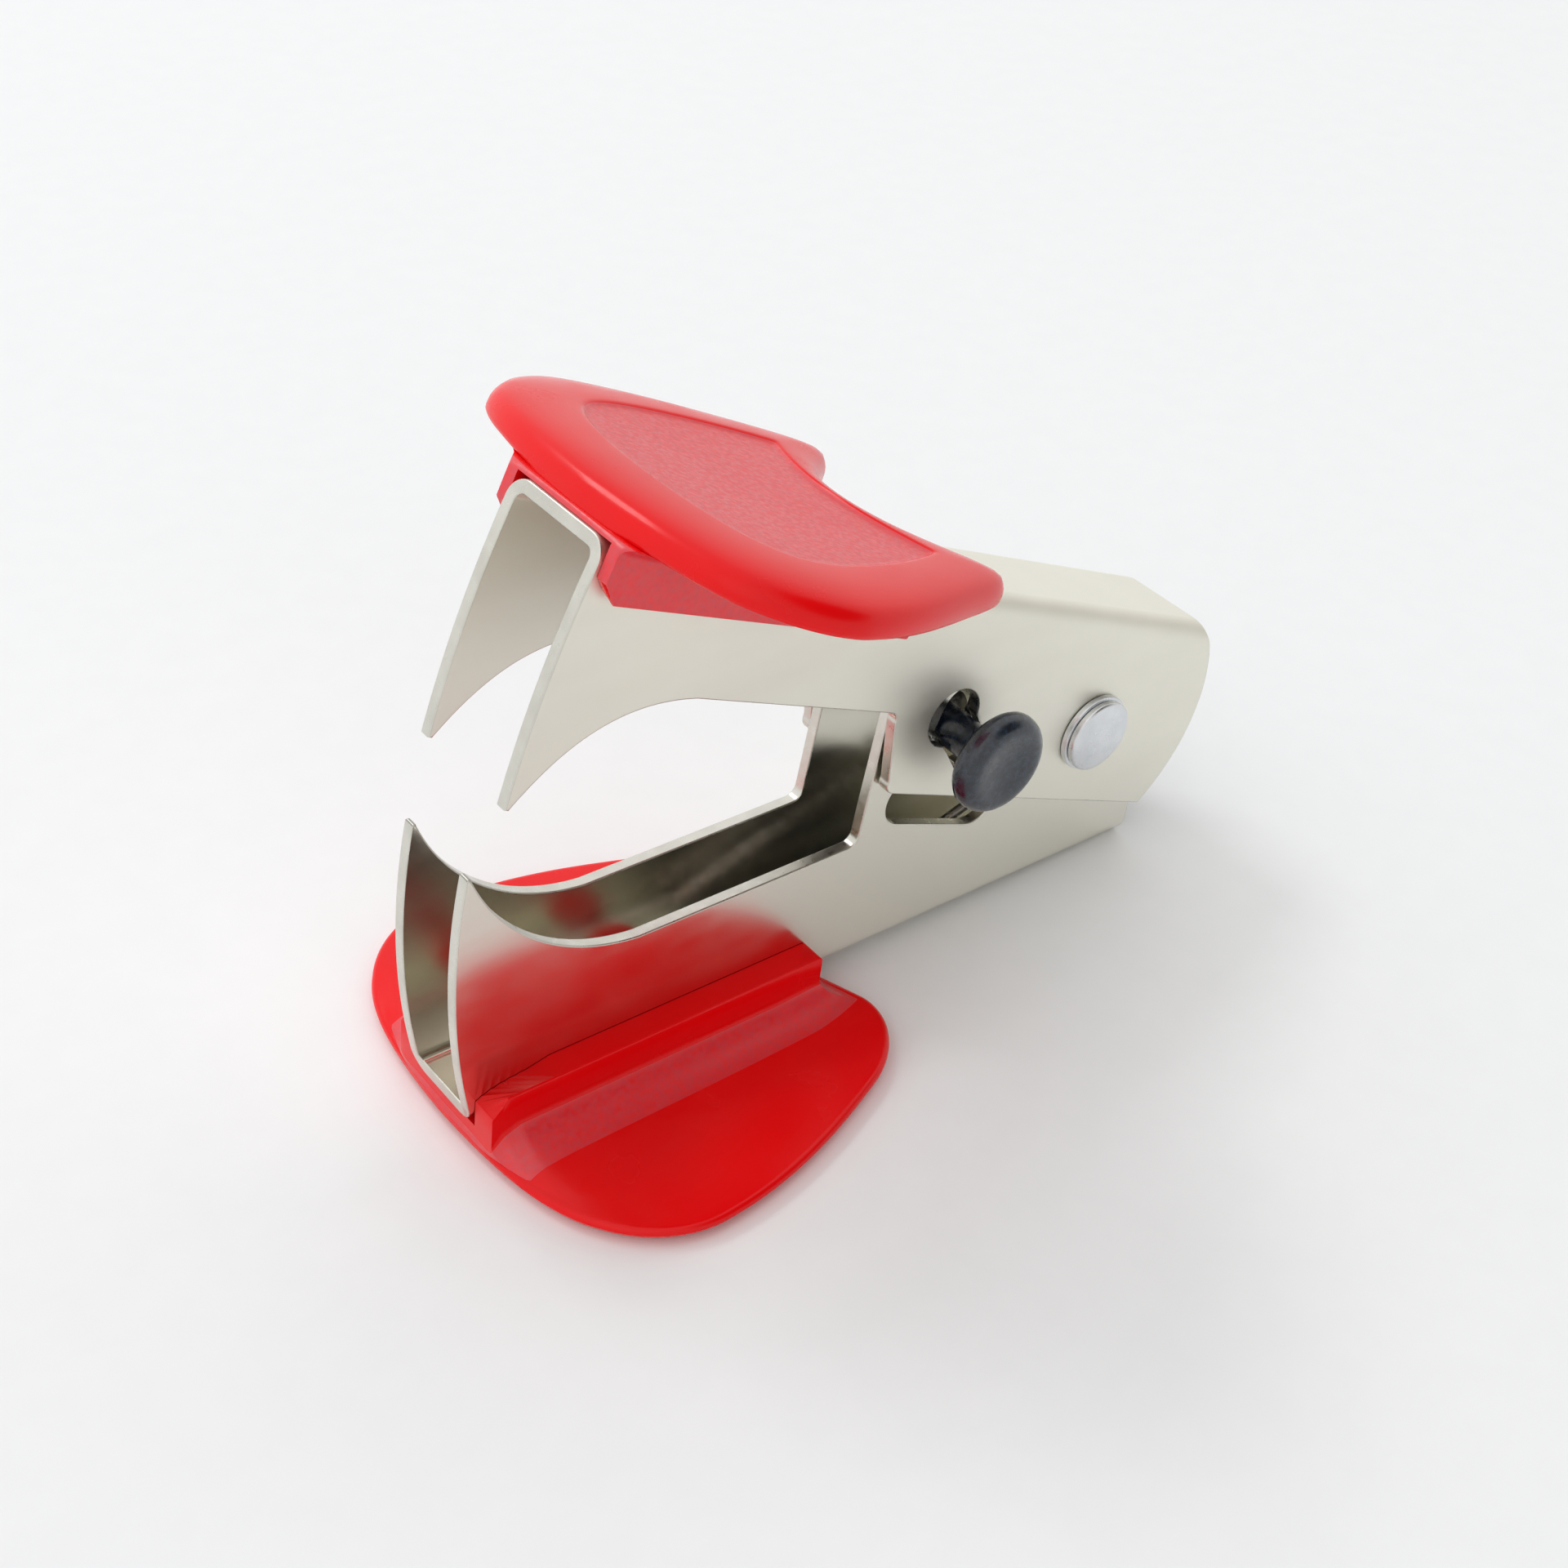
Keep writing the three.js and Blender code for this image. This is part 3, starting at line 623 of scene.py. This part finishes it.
def window():
    """The lower flange's opening: an arc for the pin to swing in, and the leg where it locks."""
    pivot = Vector(lower_jaw["centre"])
    orbit = pin_place.length
    closed = math.atan2(pin_place.y, pin_place.x) + 2 * math.pi
    band = arc(pivot, orbit + pin_play, arc_end, closed, 18)
    band += arc(pivot, orbit - pin_play, closed, arc_end, 18)
    top = round_hole(*(pivot + orbit * Vector((math.cos(arc_end), math.sin(arc_end)))), pin_play)
    free = pivot + swung(pin_place, open_angle)
    locked = pivot + swung(pin_place + lock_travel * slide, open_angle)
    return union([band, top, slot_hole(*window_leg), slot_hole(free, locked, pin_play)])


def keyhole():
    """The upper flange's opening, with heights counted away from the web."""
    x, height = upper_jaw["centre"]
    wide = pin_place - keyhole_back * slide
    locked = pin_place + lock_travel * slide
    a, b = (x + wide.x, height - wide.y), (x + locked.x, height - locked.y)
    return union([round_hole(*a, keyhole_radius), slot_hole(a, b, pin_play)])


def on_flange(loop, width, side):
    return [(x, side * flat_height(z, width)) for x, z in loop]


print("window", len(window()), "points; keyhole", len(keyhole()), "points")


# %% Holes on the blank
def blank_holes(jaw, extra, side):
    pivot_hole = round_hole(*jaw["centre"], rivet_hole)
    holes = [on_flange(pivot_hole, jaw["width"], s) for s in (-1, 1)]
    holes.append(on_flange(extra, jaw["width"], side))
    holes += [round_hole(x, 0, post_hole, 32) for x in post_places]
    return [loop if area(loop) < 0 else loop[::-1] for loop in holes]


# %% [markdown]
# ## From outline to sheet
# Each edge of the blank gets the same small section: a rounded lip on both faces and a straight
# cut between them. The faces are triangulated between the innermost rings, so face and edge share
# their points and the sheet is one closed skin.


# %% Build a jaw
mid_web = 20  # a bend's cut end ahead of this is the front one


def build_jaw(name, jaw, opening, side, finish, place):
    outline, ties = blank_outline(jaw)
    loops = [outline] + blank_holes(jaw, opening, side)
    lip, corner = edge_round, edge_round * 0.29
    section = [(lip, 0), (corner, corner), (0, lip)]
    section += [(0, sheet - lip), (corner, sheet - corner), (lip, sheet)]
    limit = flat_height(bend, jaw["width"]) + 1e-6
    vertices, faces, rims, first_ring, last_ring, flat_loops = [], [], [], [], [], []
    for loop in loops:
        steps = inward(loop)
        if loop is outline:
            for i, (x, v) in enumerate(loop):
                if abs(v) < limit:
                    steps[i] = Vector((1 if x < mid_web else -1, 0))
        start, count = len(vertices), len(loop)
        rings = [
            [(p[0] + n.x * inset, p[1] + n.y * inset, depth) for p, n in zip(loop, steps)]
            for inset, depth in section
        ]
        points, quads = rings_to_mesh(rings)
        faces += [tuple(start + i for i in quad) for quad in quads]
        rims += [True] * len(quads)
        first_ring += range(start, start + count)
        last_ring += range(start + 5 * count, start + 6 * count)
        vertices += points
        flat_loops.append([p[:2] for p in rings[0]])
    for a, b, c in fill(flat_loops, ties):
        faces.append((first_ring[a], first_ring[b], first_ring[c]))
        faces.append((last_ring[a], last_ring[c], last_ring[b]))
        rims += [False, False]
    piece = new_piece(name, vertices, faces, [finish, sheared])
    piece.data.shade_smooth()
    mark = piece.data.attributes.new("cut_edge", "BOOLEAN", "FACE")
    mark.data.foreach_set("value", rims)
    apply_tree(
        piece,
        fold_sheet,
        web_half_width=web_half(jaw["width"]),
        bend_radius=bend,
        sheet_thickness=sheet,
        sheet_finish=finish.material,
        edge_finish=sheared.material,
    )
    even = piece.modifiers.new("even_shading", "WEIGHTED_NORMAL")
    even.weight = 100
    return settle(piece, place)


lower_sheet = build_jaw("lower_jaw_sheet", lower_jaw, window(), -1, nickel, lower_place)
upper_sheet = build_jaw("upper_jaw_sheet", upper_jaw, keyhole(), 1, satin_nickel, upper_place @ flip)
for piece, body, node in (
    (lower_sheet, "lower_half", "lower_jaw"),
    (upper_sheet, "upper_half", "upper_jaw"),
):
    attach(piece, body)
    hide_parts(node)
    report(piece)

# %% [markdown]
# ## The grips: one skin of rings
# A grip is a mushroom: a broad finger plate with a round rim and a sunk thumb rest, on a block
# that clips over the channel. It can be skinned with rings that start round the thumb rest, climb
# over the rim, run in along the underside, turn down through a fillet and end at the block's foot.
# Every ring has the same number of points, so the skin is clean quads. Only the slot for the
# channel and the two posts are booleans, at the end.

# %% Grip sizes
rim_width = 3.6
dish_depth = 0.24
bowl_depth = 0.16  # of the thumb rest's middle, below its edge
wall_depth = 3.4
wall_half = 5.6
wall_chamfer = 1.2
wall_front = 0.2
seat_gap = 0.04
lower_pad = dict(width=lower_width, half=18.1, nose=0, notch=28.3, front=2.8, edge=1.35)
lower_pad.update(walls=27.4, slope=math.tan(stand_angle), fillet=3.0, grained=range(24, 31))
upper_pad = dict(width=upper_width, half=16.2, nose=0.5, notch=21.8, front=2.7, edge=2.3)
upper_pad.update(walls=27, slope=-0.045, fillet=1.5, grained=range(27, 37))

# The plate's edge behind its widest part: curve points (x, share of the half width).
lower_pad["tail"] = ((16, 1), (21.3, 0.885), (26, 0.775), (29.5, 0.68))
lower_pad["tail"] += ((31, 0.51), (30.1, 0.385), (29.4, 0.27))
upper_pad["tail"] = ((14.5, 0.98), (19, 0.865), (24, 0.745), (27.8, 0.655))
upper_pad["tail"] += ((30.4, 0.59), (27.4, 0.425), (25.6, 0.323))


def outer_face(pad, x):
    return pad["front"] - x * pad["slope"]


def half_outline(pad, steps=26):
    h, nose, notch = (pad[k] for k in ("half", "nose", "notch"))
    knots = [(nose, 0), (nose + 0.1, 0.33 * h), (nose + 0.7, 0.61 * h), (2.9, 0.775 * h)]
    knots += [(4.4, 0.9 * h), (7, h), (10, h)]
    knots += [(x, share * h) for x, share in pad["tail"]]
    knots += [(notch, 0.14 * h), (notch, 0)]
    points = [knots[0]]
    for i in range(0, 15, 3):
        points += bezier(knots[i : i + 4], steps)
    return points


print("finger plate", len(half_outline(upper_pad)), "points along half its edge")


# %% Foot of each edge point on the block
def block_half(pad, plate):
    """For each point of the plate's half outline, its foot on the clip block's outline."""
    front, rear = wall_front, pad["walls"]
    first = next(i for i, p in enumerate(plate) if p[1] > wall_half + 0.9)
    last = max(i for i, p in enumerate(plate) if p[1] > wall_half + 1.6)
    walk = [0.0]
    for a, b in zip(plate[first:last], plate[first + 1 : last + 1]):
        walk.append(walk[-1] + math.dist(a, b))
    feet = []
    for i, (x, y) in enumerate(plate):
        if i < first:
            share = i / first
            feet.append((front, wall_half * math.sin(share * math.pi / 2) ** 0.9))
        elif i <= last:
            along = walk[i - first] / walk[-1]
            reach = max(0.0, min(1.0, (x - front) / (rear - front)))
            share = 0.55 * along + 0.45 * reach * along ** 0.25
            feet.append((front + (rear - front) * min(1.0, share), wall_half))
        else:
            share = (i - last) / (len(plate) - 1 - last)
            depth = min(x - 0.5, rear)
            feet.append((depth + (rear - depth) * (1 - share) ** 3, wall_half * (1 - share)))
    return feet


plate = half_outline(upper_pad)
feet = block_half(upper_pad, plate)
print("block runs from", feet[0], "to", tuple(round(v, 2) for v in feet[-1]))


# %% Rings of a grip
def crown(edge):
    """Section over the rim, as (inset, drop below the outer face), from the thumb rest outwards."""
    scale = edge / upper_pad["edge"]
    step = [(0.9, 1), (0.62, 1), (0.46, 0.93), (0.34, 0.75), (0.22, 0.42), (0.13, 0.16), (0.05, 0.04)]
    rest = [(rim_width + inset, dish_depth * share) for inset, share in step]
    fall = [(rim_width - 0.1, 0), (3.0, 0.015), (2.3, 0.06), (1.7, 0.15), (1.2, 0.28)]
    fall += [(0.8, 0.45), (0.5, 0.66), (0.28, 0.92), (0.12, 1.2), (0.03, 1.5)]
    top = [(inset, drop * scale) for inset, drop in fall]
    tuck = [(0, edge - 0.42), (0.03, edge - 0.25), (0.12, edge - 0.12)]
    tuck += [(0.27, edge - 0.03), (0.48, edge)]
    return rest + top + tuck


def full_ring(half_points):
    """Mirrors a half ring of (x, y, z); the middle points are not repeated."""
    return half_points + [(x, -y, z) for x, y, z in half_points[-2:0:-1]]


longest_stride = 0.12
evening_passes = 20
crisp_inset = 0.6  # up to here the loop keeps its exact shape


def evened(loop):
    before, after = loop[-1:] + loop[:-1], loop[1:] + loop[:1]
    return [0.5 * b + 0.25 * (a + c) for a, b, c in zip(before, loop, after)]


def inset_loops(loop, insets):
    """The loop moved in by each inset, and evened out as it goes, so that it never crosses itself."""
    turn = 1 if area(loop) > 0 else -1
    now, done, result = 0.0, [Vector(p) for p in loop], {0: loop}
    for inset in sorted(insets):
        while now < inset - 1e-9:
            stride = min(longest_stride, inset - now)
            steps = inward([tuple(p) for p in done])
            done = [p + n.normalized() * turn * stride for p, n in zip(done, steps)]
            for _ in range(evening_passes if now > crisp_inset else 0):
                done = evened(done)
            now += stride
        result[inset] = [tuple(p) for p in done]
    return result


# %% Rim, underside and block
curled_rings = 4  # the last rings of the crown, which curl in under the rim
plain_points = 7  # from the nose, where the rim drops straight on to the block
curl_points = 9  # the next ones, over which the curl grows to its full size
FILLET_STEPS = 9


def crown_rings(pad, plate):
    loop = plate + [(x, -y) for x, y in plate[-2:0:-1]]
    count, section = len(plate), crown(pad["edge"])
    moved = inset_loops(loop, {inset for inset, _ in section})
    shares = [min(1.0, max(0.0, (i - plain_points) / curl_points)) for i in range(count)]
    rings = []
    for number, (inset, drop) in enumerate(section):
        half = [(x, 0 if i in (0, count - 1) else y) for i, (x, y) in enumerate(moved[inset][:count])]
        if number >= len(section) - curled_rings:
            half = [tuple(Vector(a).lerp(Vector(b), t)) for a, b, t in zip(plate, half, shares)]
        rings.append(full_ring([(x, y, outer_face(pad, x) - drop) for x, y in half]))
    return rings


def underside_rings(pad, rim, feet):
    """From the rim in to the block, then down through a fillet to the top of the block's wall."""
    turns = [math.pi / 2 * i / FILLET_STEPS for i in range(1, FILLET_STEPS + 1)]
    flat_parts = (0.3, 0.65, 1.0)
    below = [[] for _ in range(len(flat_parts) + len(turns))]
    for (x, y, z), foot in zip(rim, feet):
        here, end = Vector((x, y)), Vector(foot)
        gap = (end - here).length
        size = min(pad["fillet"], 0.92 * gap)
        fall = max(0.6, min(1.7, 0.57 * size))
        crease = min(z, z + (seat_gap + 0.2 - z) * min(1.0, gap / 6))
        flat_end = 1 - size / gap if gap > 1e-6 else 0.0
        for k, part in enumerate(flat_parts):
            share = flat_end * part
            below[k].append((*here.lerp(end, share), z + (crease - z) * share))
        for k, angle in enumerate(turns, len(flat_parts)):
            spot = end.lerp(here, (size / gap if gap > 1e-6 else 0) * (1 - math.sin(angle)))
            share = flat_end + (1 - flat_end) * math.sin(angle)
            drop = fall * (1 - math.cos(angle))
            below[k].append((*spot, z + (crease - z) * share - drop))
    return below


def grip_rings(pad):
    plate = half_outline(pad)
    rings = crown_rings(pad, plate)
    below = underside_rings(pad, rings[-1][: len(plate)], block_half(pad, plate))
    rings += [full_ring(ring) for ring in below]
    for inset, lift in ((0, 0.16), (0.05, 0.05), (0.16, 0)):
        ring = []
        for x, y, z in below[-1]:
            foot = -wall_depth + max(0.0, wall_chamfer - (x - wall_front)) + lift
            along = inset if x < 1 else -inset if x > mid_web else 0
            ring.append((x + along, y - inset if y > 5 else y, foot))
        if inset == 0:
            middle = [tuple((a + b) / 2 for a, b in zip(p, q)) for p, q in zip(below[-1], ring)]
            rings.append(full_ring(middle))
        rings.append(full_ring(ring))
    return rings


rings = grip_rings(upper_pad)
print("grip skin", len(rings), "rings of", len(rings[0]), "points")


# %% [markdown]
# ## Thumb rest, slot and posts
# The thumb rest is hollowed a little more towards its middle, like the finger that uses it. It is
# filled with an even lattice of points whose depth follows a smooth bowl. The clip slot and the two
# heat-staked posts are booleans, because they are plain shapes on a finished skin.


# %% Thumb rest
def thumb_rest(pad, rim, start):
    """Faces and extra points that close the innermost ring with a shallow bowl."""
    edge = [p[:2] for p in rim]
    first, last = min(x for x, _ in edge), max(x for x, _ in edge)
    lattice, points, pitch = [], [], 0.9
    for i in range(int((last - first) / pitch) + 1):
        for j in range(-20, 21):
            x, y = spot = (first + pitch * (i + 0.5 * (j % 2)), pitch * j)
            away = min(math.dist(spot, p) for p in edge)
            if inside(spot, edge) and away > pitch / 2:
                bowl = bowl_depth * (1 - math.exp(-((away / 4.2) ** 2)))
                lattice.append(spot)
                points.append((x, y, outer_face(pad, x) - dish_depth - 0.02 - bowl))
    faces = []
    for triangle in fill([edge], extra_points=lattice):
        faces.append(tuple(i if i < len(edge) else start + i - len(edge) for i in triangle))
    return points, faces


# %% Solid of revolution
def turned_rings(profile, segments):
    turns = [2 * math.pi * i / segments for i in range(segments)]
    return [[(r * math.cos(a), y, r * math.sin(a)) for a in turns] for r, y in profile]


def lathe(profile, segments):
    """Skin of a profile of (radius, y) pairs turned round the Y axis; both ends are on the axis."""
    rings = turned_rings(profile[1:-1], segments)
    vertices, faces = rings_to_mesh(rings)
    for end, ring in ((profile[0], 0), (profile[-1], len(rings) - 1)):
        vertices.append((0, end[1], 0))
        first = ring * segments
        faces += [(first + i, first + (i + 1) % segments, len(vertices) - 1) for i in range(segments)]
    return vertices, faces


# %% Cutting and joining
def boolean(piece, other, operation):
    modifier = piece.modifiers.new(operation.lower(), "BOOLEAN")
    modifier.object = other
    modifier.operation = operation
    modifier.solver = "EXACT"
    settle(piece)
    bpy.data.objects.remove(other)


def channel_core(pad):
    """The room that the steel channel takes up below the seat."""
    half, deep = pad["width"] / 2 + seat_gap, -wall_depth - 3
    ends = [(-4, -half), (-4, half), (40, half), (40, -half)]
    rings = [[(x, y, z) for x, y in ends] for z in (deep, seat_gap)]
    vertices, faces = rings_to_mesh(rings)
    faces += [(0, 1, 2, 3), (4, 5, 6, 7)]
    return new_piece("core", vertices, faces, [red_polished])


def post(x):
    under = -sheet - seat_gap
    profile = [(0, under - 0.7), (1.5, under - 0.7), (1.75, under - 0.64), (1.92, under - 0.5)]
    profile += [(2.0, under - 0.3), (2.0, under - 0.02), (1.94, under)]
    profile += [(1.3, under), (1.3, 1.2), (0, 1.2)]
    vertices, faces = lathe(profile, 40)
    upright = Matrix.Translation((x, 0, 0)) @ Matrix.Rotation(math.pi / 2, 4, "X")
    return new_piece("post", [upright @ Vector(v) for v in vertices], faces, [red_polished])


# %% Build a grip
def build_grip(name, pad, place):
    rings = grip_rings(pad)
    vertices, faces = rings_to_mesh(rings)
    count = len(rings[0])
    grained = {*range(4), *pad["grained"]}
    slots = [1 if i // count in grained else 0 for i in range(len(faces))]
    rest_points, rest_faces = thumb_rest(pad, rings[0], len(vertices))
    vertices += rest_points
    faces += rest_faces
    slots += [1] * len(rest_faces)
    foot = (len(rings) - 1) * count
    bottom = fill([[p[:2] for p in rings[-1]]])
    faces += [tuple(foot + i for i in triangle) for triangle in bottom]
    slots += [0] * len(bottom)
    piece = new_piece(name, vertices, faces, [red_polished, red_grained], slots)
    boolean(piece, channel_core(pad), "DIFFERENCE")
    for x in post_places:
        boolean(piece, post(x), "UNION")
    return settle(piece, place, crease=38)


lower_grip = build_grip("lower_grip_moulding", lower_pad, lower_place @ flip)
upper_grip = build_grip("upper_grip_moulding", upper_pad, upper_place)
for piece, body, node in (
    (lower_grip, "lower_half", "lower_grip"),
    (upper_grip, "upper_half", "upper_grip"),
):
    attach(piece, body)
    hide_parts(node)
    report(piece)

# %% [markdown]
# ## Rivet and washers
# A rivet is a turned part, so its section is drawn once and spun. The head gets a rounded shoulder
# and a low dome, which catch the light differently from the flat washer below.

# %% Rivet
shank = 1.9
face_gap = 0.05
turned_segments = 72
washer_inside = upper_width / 2 + face_gap
washer_outside = washer_inside + 0.5


def rivet_half():
    """Half the rivet's section, from the middle of the far head's face to its shank."""
    under = washer_outside + face_gap
    dome = [(0, 0.75), (0.3, 0.75), (0.9, 0.74), (1.6, 0.7), (2.2, 0.64), (2.6, 0.565)]
    shoulder = [(2.74, 0.51), (2.82, 0.44), (2.85, 0.34), (2.85, 0.08), (2.78, 0), (shank, 0)]
    return [(r, under + height) for r, height in dome + shoulder]


half = rivet_half()
vertices, faces = lathe(half + [(r, -y) for r, y in half[::-1]], turned_segments)
rivet = settle(new_piece("rivet", vertices, faces, [rivet_steel]), on_rivet(0), crease=40)
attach(rivet, "lower_half")
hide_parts("pivot_rivet")
report(rivet)


# %% Washers
def build_washer(name, side):
    hole, rim, lip, corner = shank + 0.12, 3.05, 0.09, 0.027
    near, far = washer_inside, washer_outside
    section = [(hole, near + lip), (hole + lip, near), (rim - lip, near), (rim, near + lip)]
    section += [(rim, far - lip), (rim - corner, far - corner), (rim - lip, far)]
    section += [(hole + lip, far), (hole, far - lip), (hole, near + lip)]
    rings = turned_rings([(r, side * y) for r, y in section], turned_segments)
    vertices, faces = rings_to_mesh(rings)
    whole = turned_segments * (len(section) - 1)  # the last ring is the first one again
    faces = [tuple(i % whole for i in face) for face in faces]
    return settle(new_piece(name, vertices[:whole], faces, [rivet_steel]), on_rivet(0), crease=40)


for side, name in ((-1, "near"), (1, "far")):
    washer = build_washer("washer_" + name, side)
    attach(washer, "lower_half")
    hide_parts("rivet_washer_" + name)
    report(washer)

# %% [markdown]
# ## Torsion spring
# A spring is wire on a path: one straight leg along each web, tangent to a close coil round the
# rivet. Geometry Nodes turn the path into a curve and sweep a circle along it, so the wire's
# thickness stays one number.

# %% Spring path
wire = 0.8
coil_radius = shank + 0.4 + wire / 2
coil_pitch = wire + 0.15
lower_leg = 28.2  # from the rivet to the leg's foot, along the web
upper_leg = 28


def spring_path(turns=3, steps=44):
    clear = sheet + wire / 2 + seat_gap
    lower_foot = Vector((-lower_leg, -(lower_jaw["centre"][1] - clear)))
    upper_foot = swung(Vector((-upper_leg, upper_jaw["centre"][1] - clear)), open_angle)
    start = math.atan2(lower_foot.y, lower_foot.x) + math.acos(coil_radius / lower_foot.length)
    leave = math.atan2(upper_foot.y, upper_foot.x) - math.acos(coil_radius / upper_foot.length)
    sweep = turns * 2 * math.pi + (leave - start + 6 * math.pi) % (2 * math.pi)
    length = sweep / (2 * math.pi) * coil_pitch
    count = int(steps * sweep / (2 * math.pi))
    coil = []
    for i in range(count + 1):
        a, y = start + sweep * i / count, (i / count - 0.5) * length
        coil.append((coil_radius * math.cos(a), y, coil_radius * math.sin(a)))
    points = [(lower_foot.x, coil[0][1], lower_foot.y)] + coil
    points.append((upper_foot.x, coil[-1][1], upper_foot.y))
    return points, length


path, coil_length = spring_path()
print("coil", round(coil_length, 2), "mm long,", len(path), "points")


# %% Wire tree
def wire_tree():
    sizes = dict(path="Geometry", wire_radius="Float", sides="Int", wire_finish="Material")
    tree, (path, radius, sides, finish) = new_tree("bend_wire", "Wire", **sizes)
    curve = add_node(tree, "GeometryNodeMeshToCurve", {0: path}).outputs[0]
    circle = {"Resolution": sides, "Radius": radius}
    circle = add_node(tree, "GeometryNodeCurvePrimitiveCircle", circle).outputs[0]
    swept = {"Curve": curve, "Profile Curve": circle, "Fill Caps": True}
    swept = add_node(tree, "GeometryNodeCurveToMesh", swept).outputs[0]
    smooth = add_node(tree, "GeometryNodeSetShadeSmooth", {0: swept}).outputs[0]
    real = add_node(tree, "GeometryNodeRealizeInstances", {0: smooth}).outputs[0]
    made = {"Geometry": real, "Material": finish}
    add_node(tree, "NodeGroupOutput", {0: add_node(tree, "GeometryNodeSetMaterial", made).outputs[0]})
    return tree


bend_wire = wire_tree()
print("wire tree", len(bend_wire.nodes), "nodes")

# %% Spring
place = on_rivet(stand_angle)
spring_mesh = bpy.data.meshes.new("spring")
edges = [(i, i + 1) for i in range(len(path) - 1)]
spring_mesh.from_pydata([tuple(place @ Vector(p)) for p in path], edges, [])
spring = new_object("spring", spring_mesh)
apply_tree(spring, bend_wire, wire_radius=wire / 2 * MM, sides=14, wire_finish=spring_steel.material)
settle(spring, crease=50)
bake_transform(spring)
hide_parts("torsion_spring")
report(spring)

# %% [markdown]
# ## Lock button
# The button is another turned part: a fat knob with a dimple for the fingertip, on a pin that runs
# through the keyhole into the inner jaw. Its edge is full and round, as moulded buttons are.

# %% Button
pin = 1.4
groove = 1.05  # radius of the pin where the clip sits
knob = 3.8
knob_back = -upper_width / 2 - 2.2
knob_face = knob_back - 2.5
clip_place = -lower_width / 2 + sheet + 0.15
groove_end = clip_place + 0.62


def knob_section():
    dimple = [(0, 0.36), (0.28, 0.355), (0.8, 0.325), (1.3, 0.25), (1.76, 0.145), (2.16, 0.06)]
    shoulder = [(2.5, 0.01), (2.8, 0.0), (3.06, 0.06), (3.31, 0.18), (3.51, 0.36), (3.67, 0.6)]
    back = [(3.77, 0.9), (knob, 1.2), (3.76, 1.48), (3.6, 1.72), (3.32, 1.95), (2.95, 2.15)]
    back += [(2.52, 2.32), (2.1, 2.45), (1.75, 2.5)]
    points = [(r, knob_face + y) for r, y in dimple + shoulder + back]
    points += [(1.45, knob_back + 0.08), (pin, knob_back + 0.25), (pin, clip_place)]
    points += [(groove, clip_place), (groove, groove_end), (pin, groove_end)]
    points += [(pin, groove_end + 0.35), (1.3, groove_end + 0.53)]
    return points + [(1.1, groove_end + 0.6), (0, groove_end + 0.6)]


lock_frame = on_rivet(stand_angle + open_angle) @ Matrix.Translation((pin_place.x, 0, pin_place.y))
vertices, faces = lathe(knob_section(), turned_segments)
button = settle(new_piece("lock_knob", vertices, faces, [navy_plastic]), lock_frame, crease=40)
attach(button, "lock")
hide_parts("lock_button")
report(button)

# %% [markdown]
# ## Lock clip
# The small clip on the pin's inner end sits inside the jaws. Its CAD shape is already right, so the
# node stays and only takes the spring steel finish.

# %% Clip
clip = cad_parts["lock_clip"]
clip.data.materials.clear()
clip.data.materials.append(spring_steel.material)
print("clip", len(clip.data.polygons), "faces")

# %% [markdown]
# ## Table and light
# The object stands on white paper. A window high behind it gives the pale sheen on the grips and a
# faint shadow. The world shader draws the room, because polished steel shows whatever stands round
# it: pale walls, a little brighter towards the window, and one dark doorway.

# %% Table
paper = Finish("paper", (0.89, 0.9, 0.91), 0.6, specular=0.1)
paper.tint(paper.noise(300, 4), (0.893, 0.903, 0.913), (0.883, 0.893, 0.903))
paper.bump(paper.noise(900, 4), 0.004)
reach = 1.6
corners = [(-reach, -reach, 0), (reach, -reach, 0), (reach, reach, 0), (-reach, reach, 0)]
table = bpy.data.meshes.new("table")
table.from_pydata(corners, [], [(0, 1, 2, 3)])
table.materials.append(paper.material)
table = new_object("table", table)
print("table", 2 * reach, "m square")

# %% Room
window_side = Vector((-0.12, 0.62, 0.775)).normalized()
doorway_side = Vector((0.52, -0.59, 0.62)).normalized()
world = bpy.data.worlds.new("room")
bpy.context.scene.world = world
world.use_nodes = True
room = world.node_tree
way = add_node(room, "ShaderNodeTexCoord").outputs["Generated"]


def turning_to(side, start, end):
    """Goes from 0 to 1 as a direction turns towards one side of the room."""
    facing = {0: way, 1: side}
    facing = add_node(room, "ShaderNodeVectorMath", facing, operation="DOT_PRODUCT").outputs["Value"]
    sizes = {"Value": facing, "From Min": start, "From Max": end, "To Min": 0.0, "To Max": 1.0}
    return add_node(room, "ShaderNodeMapRange", sizes, interpolation_type="SMOOTHSTEP").outputs[0]


to_window = turning_to(window_side, -0.1, 0.95)
walls = mix_colours(room, to_window, (0.87, 0.855, 0.82), (1.06, 1.07, 1.08))
walls = mix_colours(room, turning_to(doorway_side, 0.80, 0.95), walls, (0.075, 0.055, 0.04))
room.links.new(walls, room.nodes["Background"].inputs["Color"])
print("room nodes", len(room.nodes))


# %% Lamps
def soft_lamp(name, place, target, size, power):
    data = bpy.data.lights.new(name, "AREA")
    data.shape = "RECTANGLE"
    data.size, data.size_y = size
    data.energy = power
    away = Vector(place) - Vector(target)
    turn = away.to_track_quat("Z", "Y").to_matrix().to_4x4()
    new_object(name, data).matrix_world = Matrix.Translation(place) @ turn


soft_lamp("window_lamp", (-0.15, 0.70, 0.90), (0, 0, 0.02), (0.36, 0.26), 2.2)
soft_lamp("fill_lamp", (-0.75, -0.45, 0.75), (0, 0, 0.02), (0.8, 0.8), 0.5)
bpy.context.scene.view_settings.view_transform = "Standard"
print("lamps", len(bpy.data.lights))
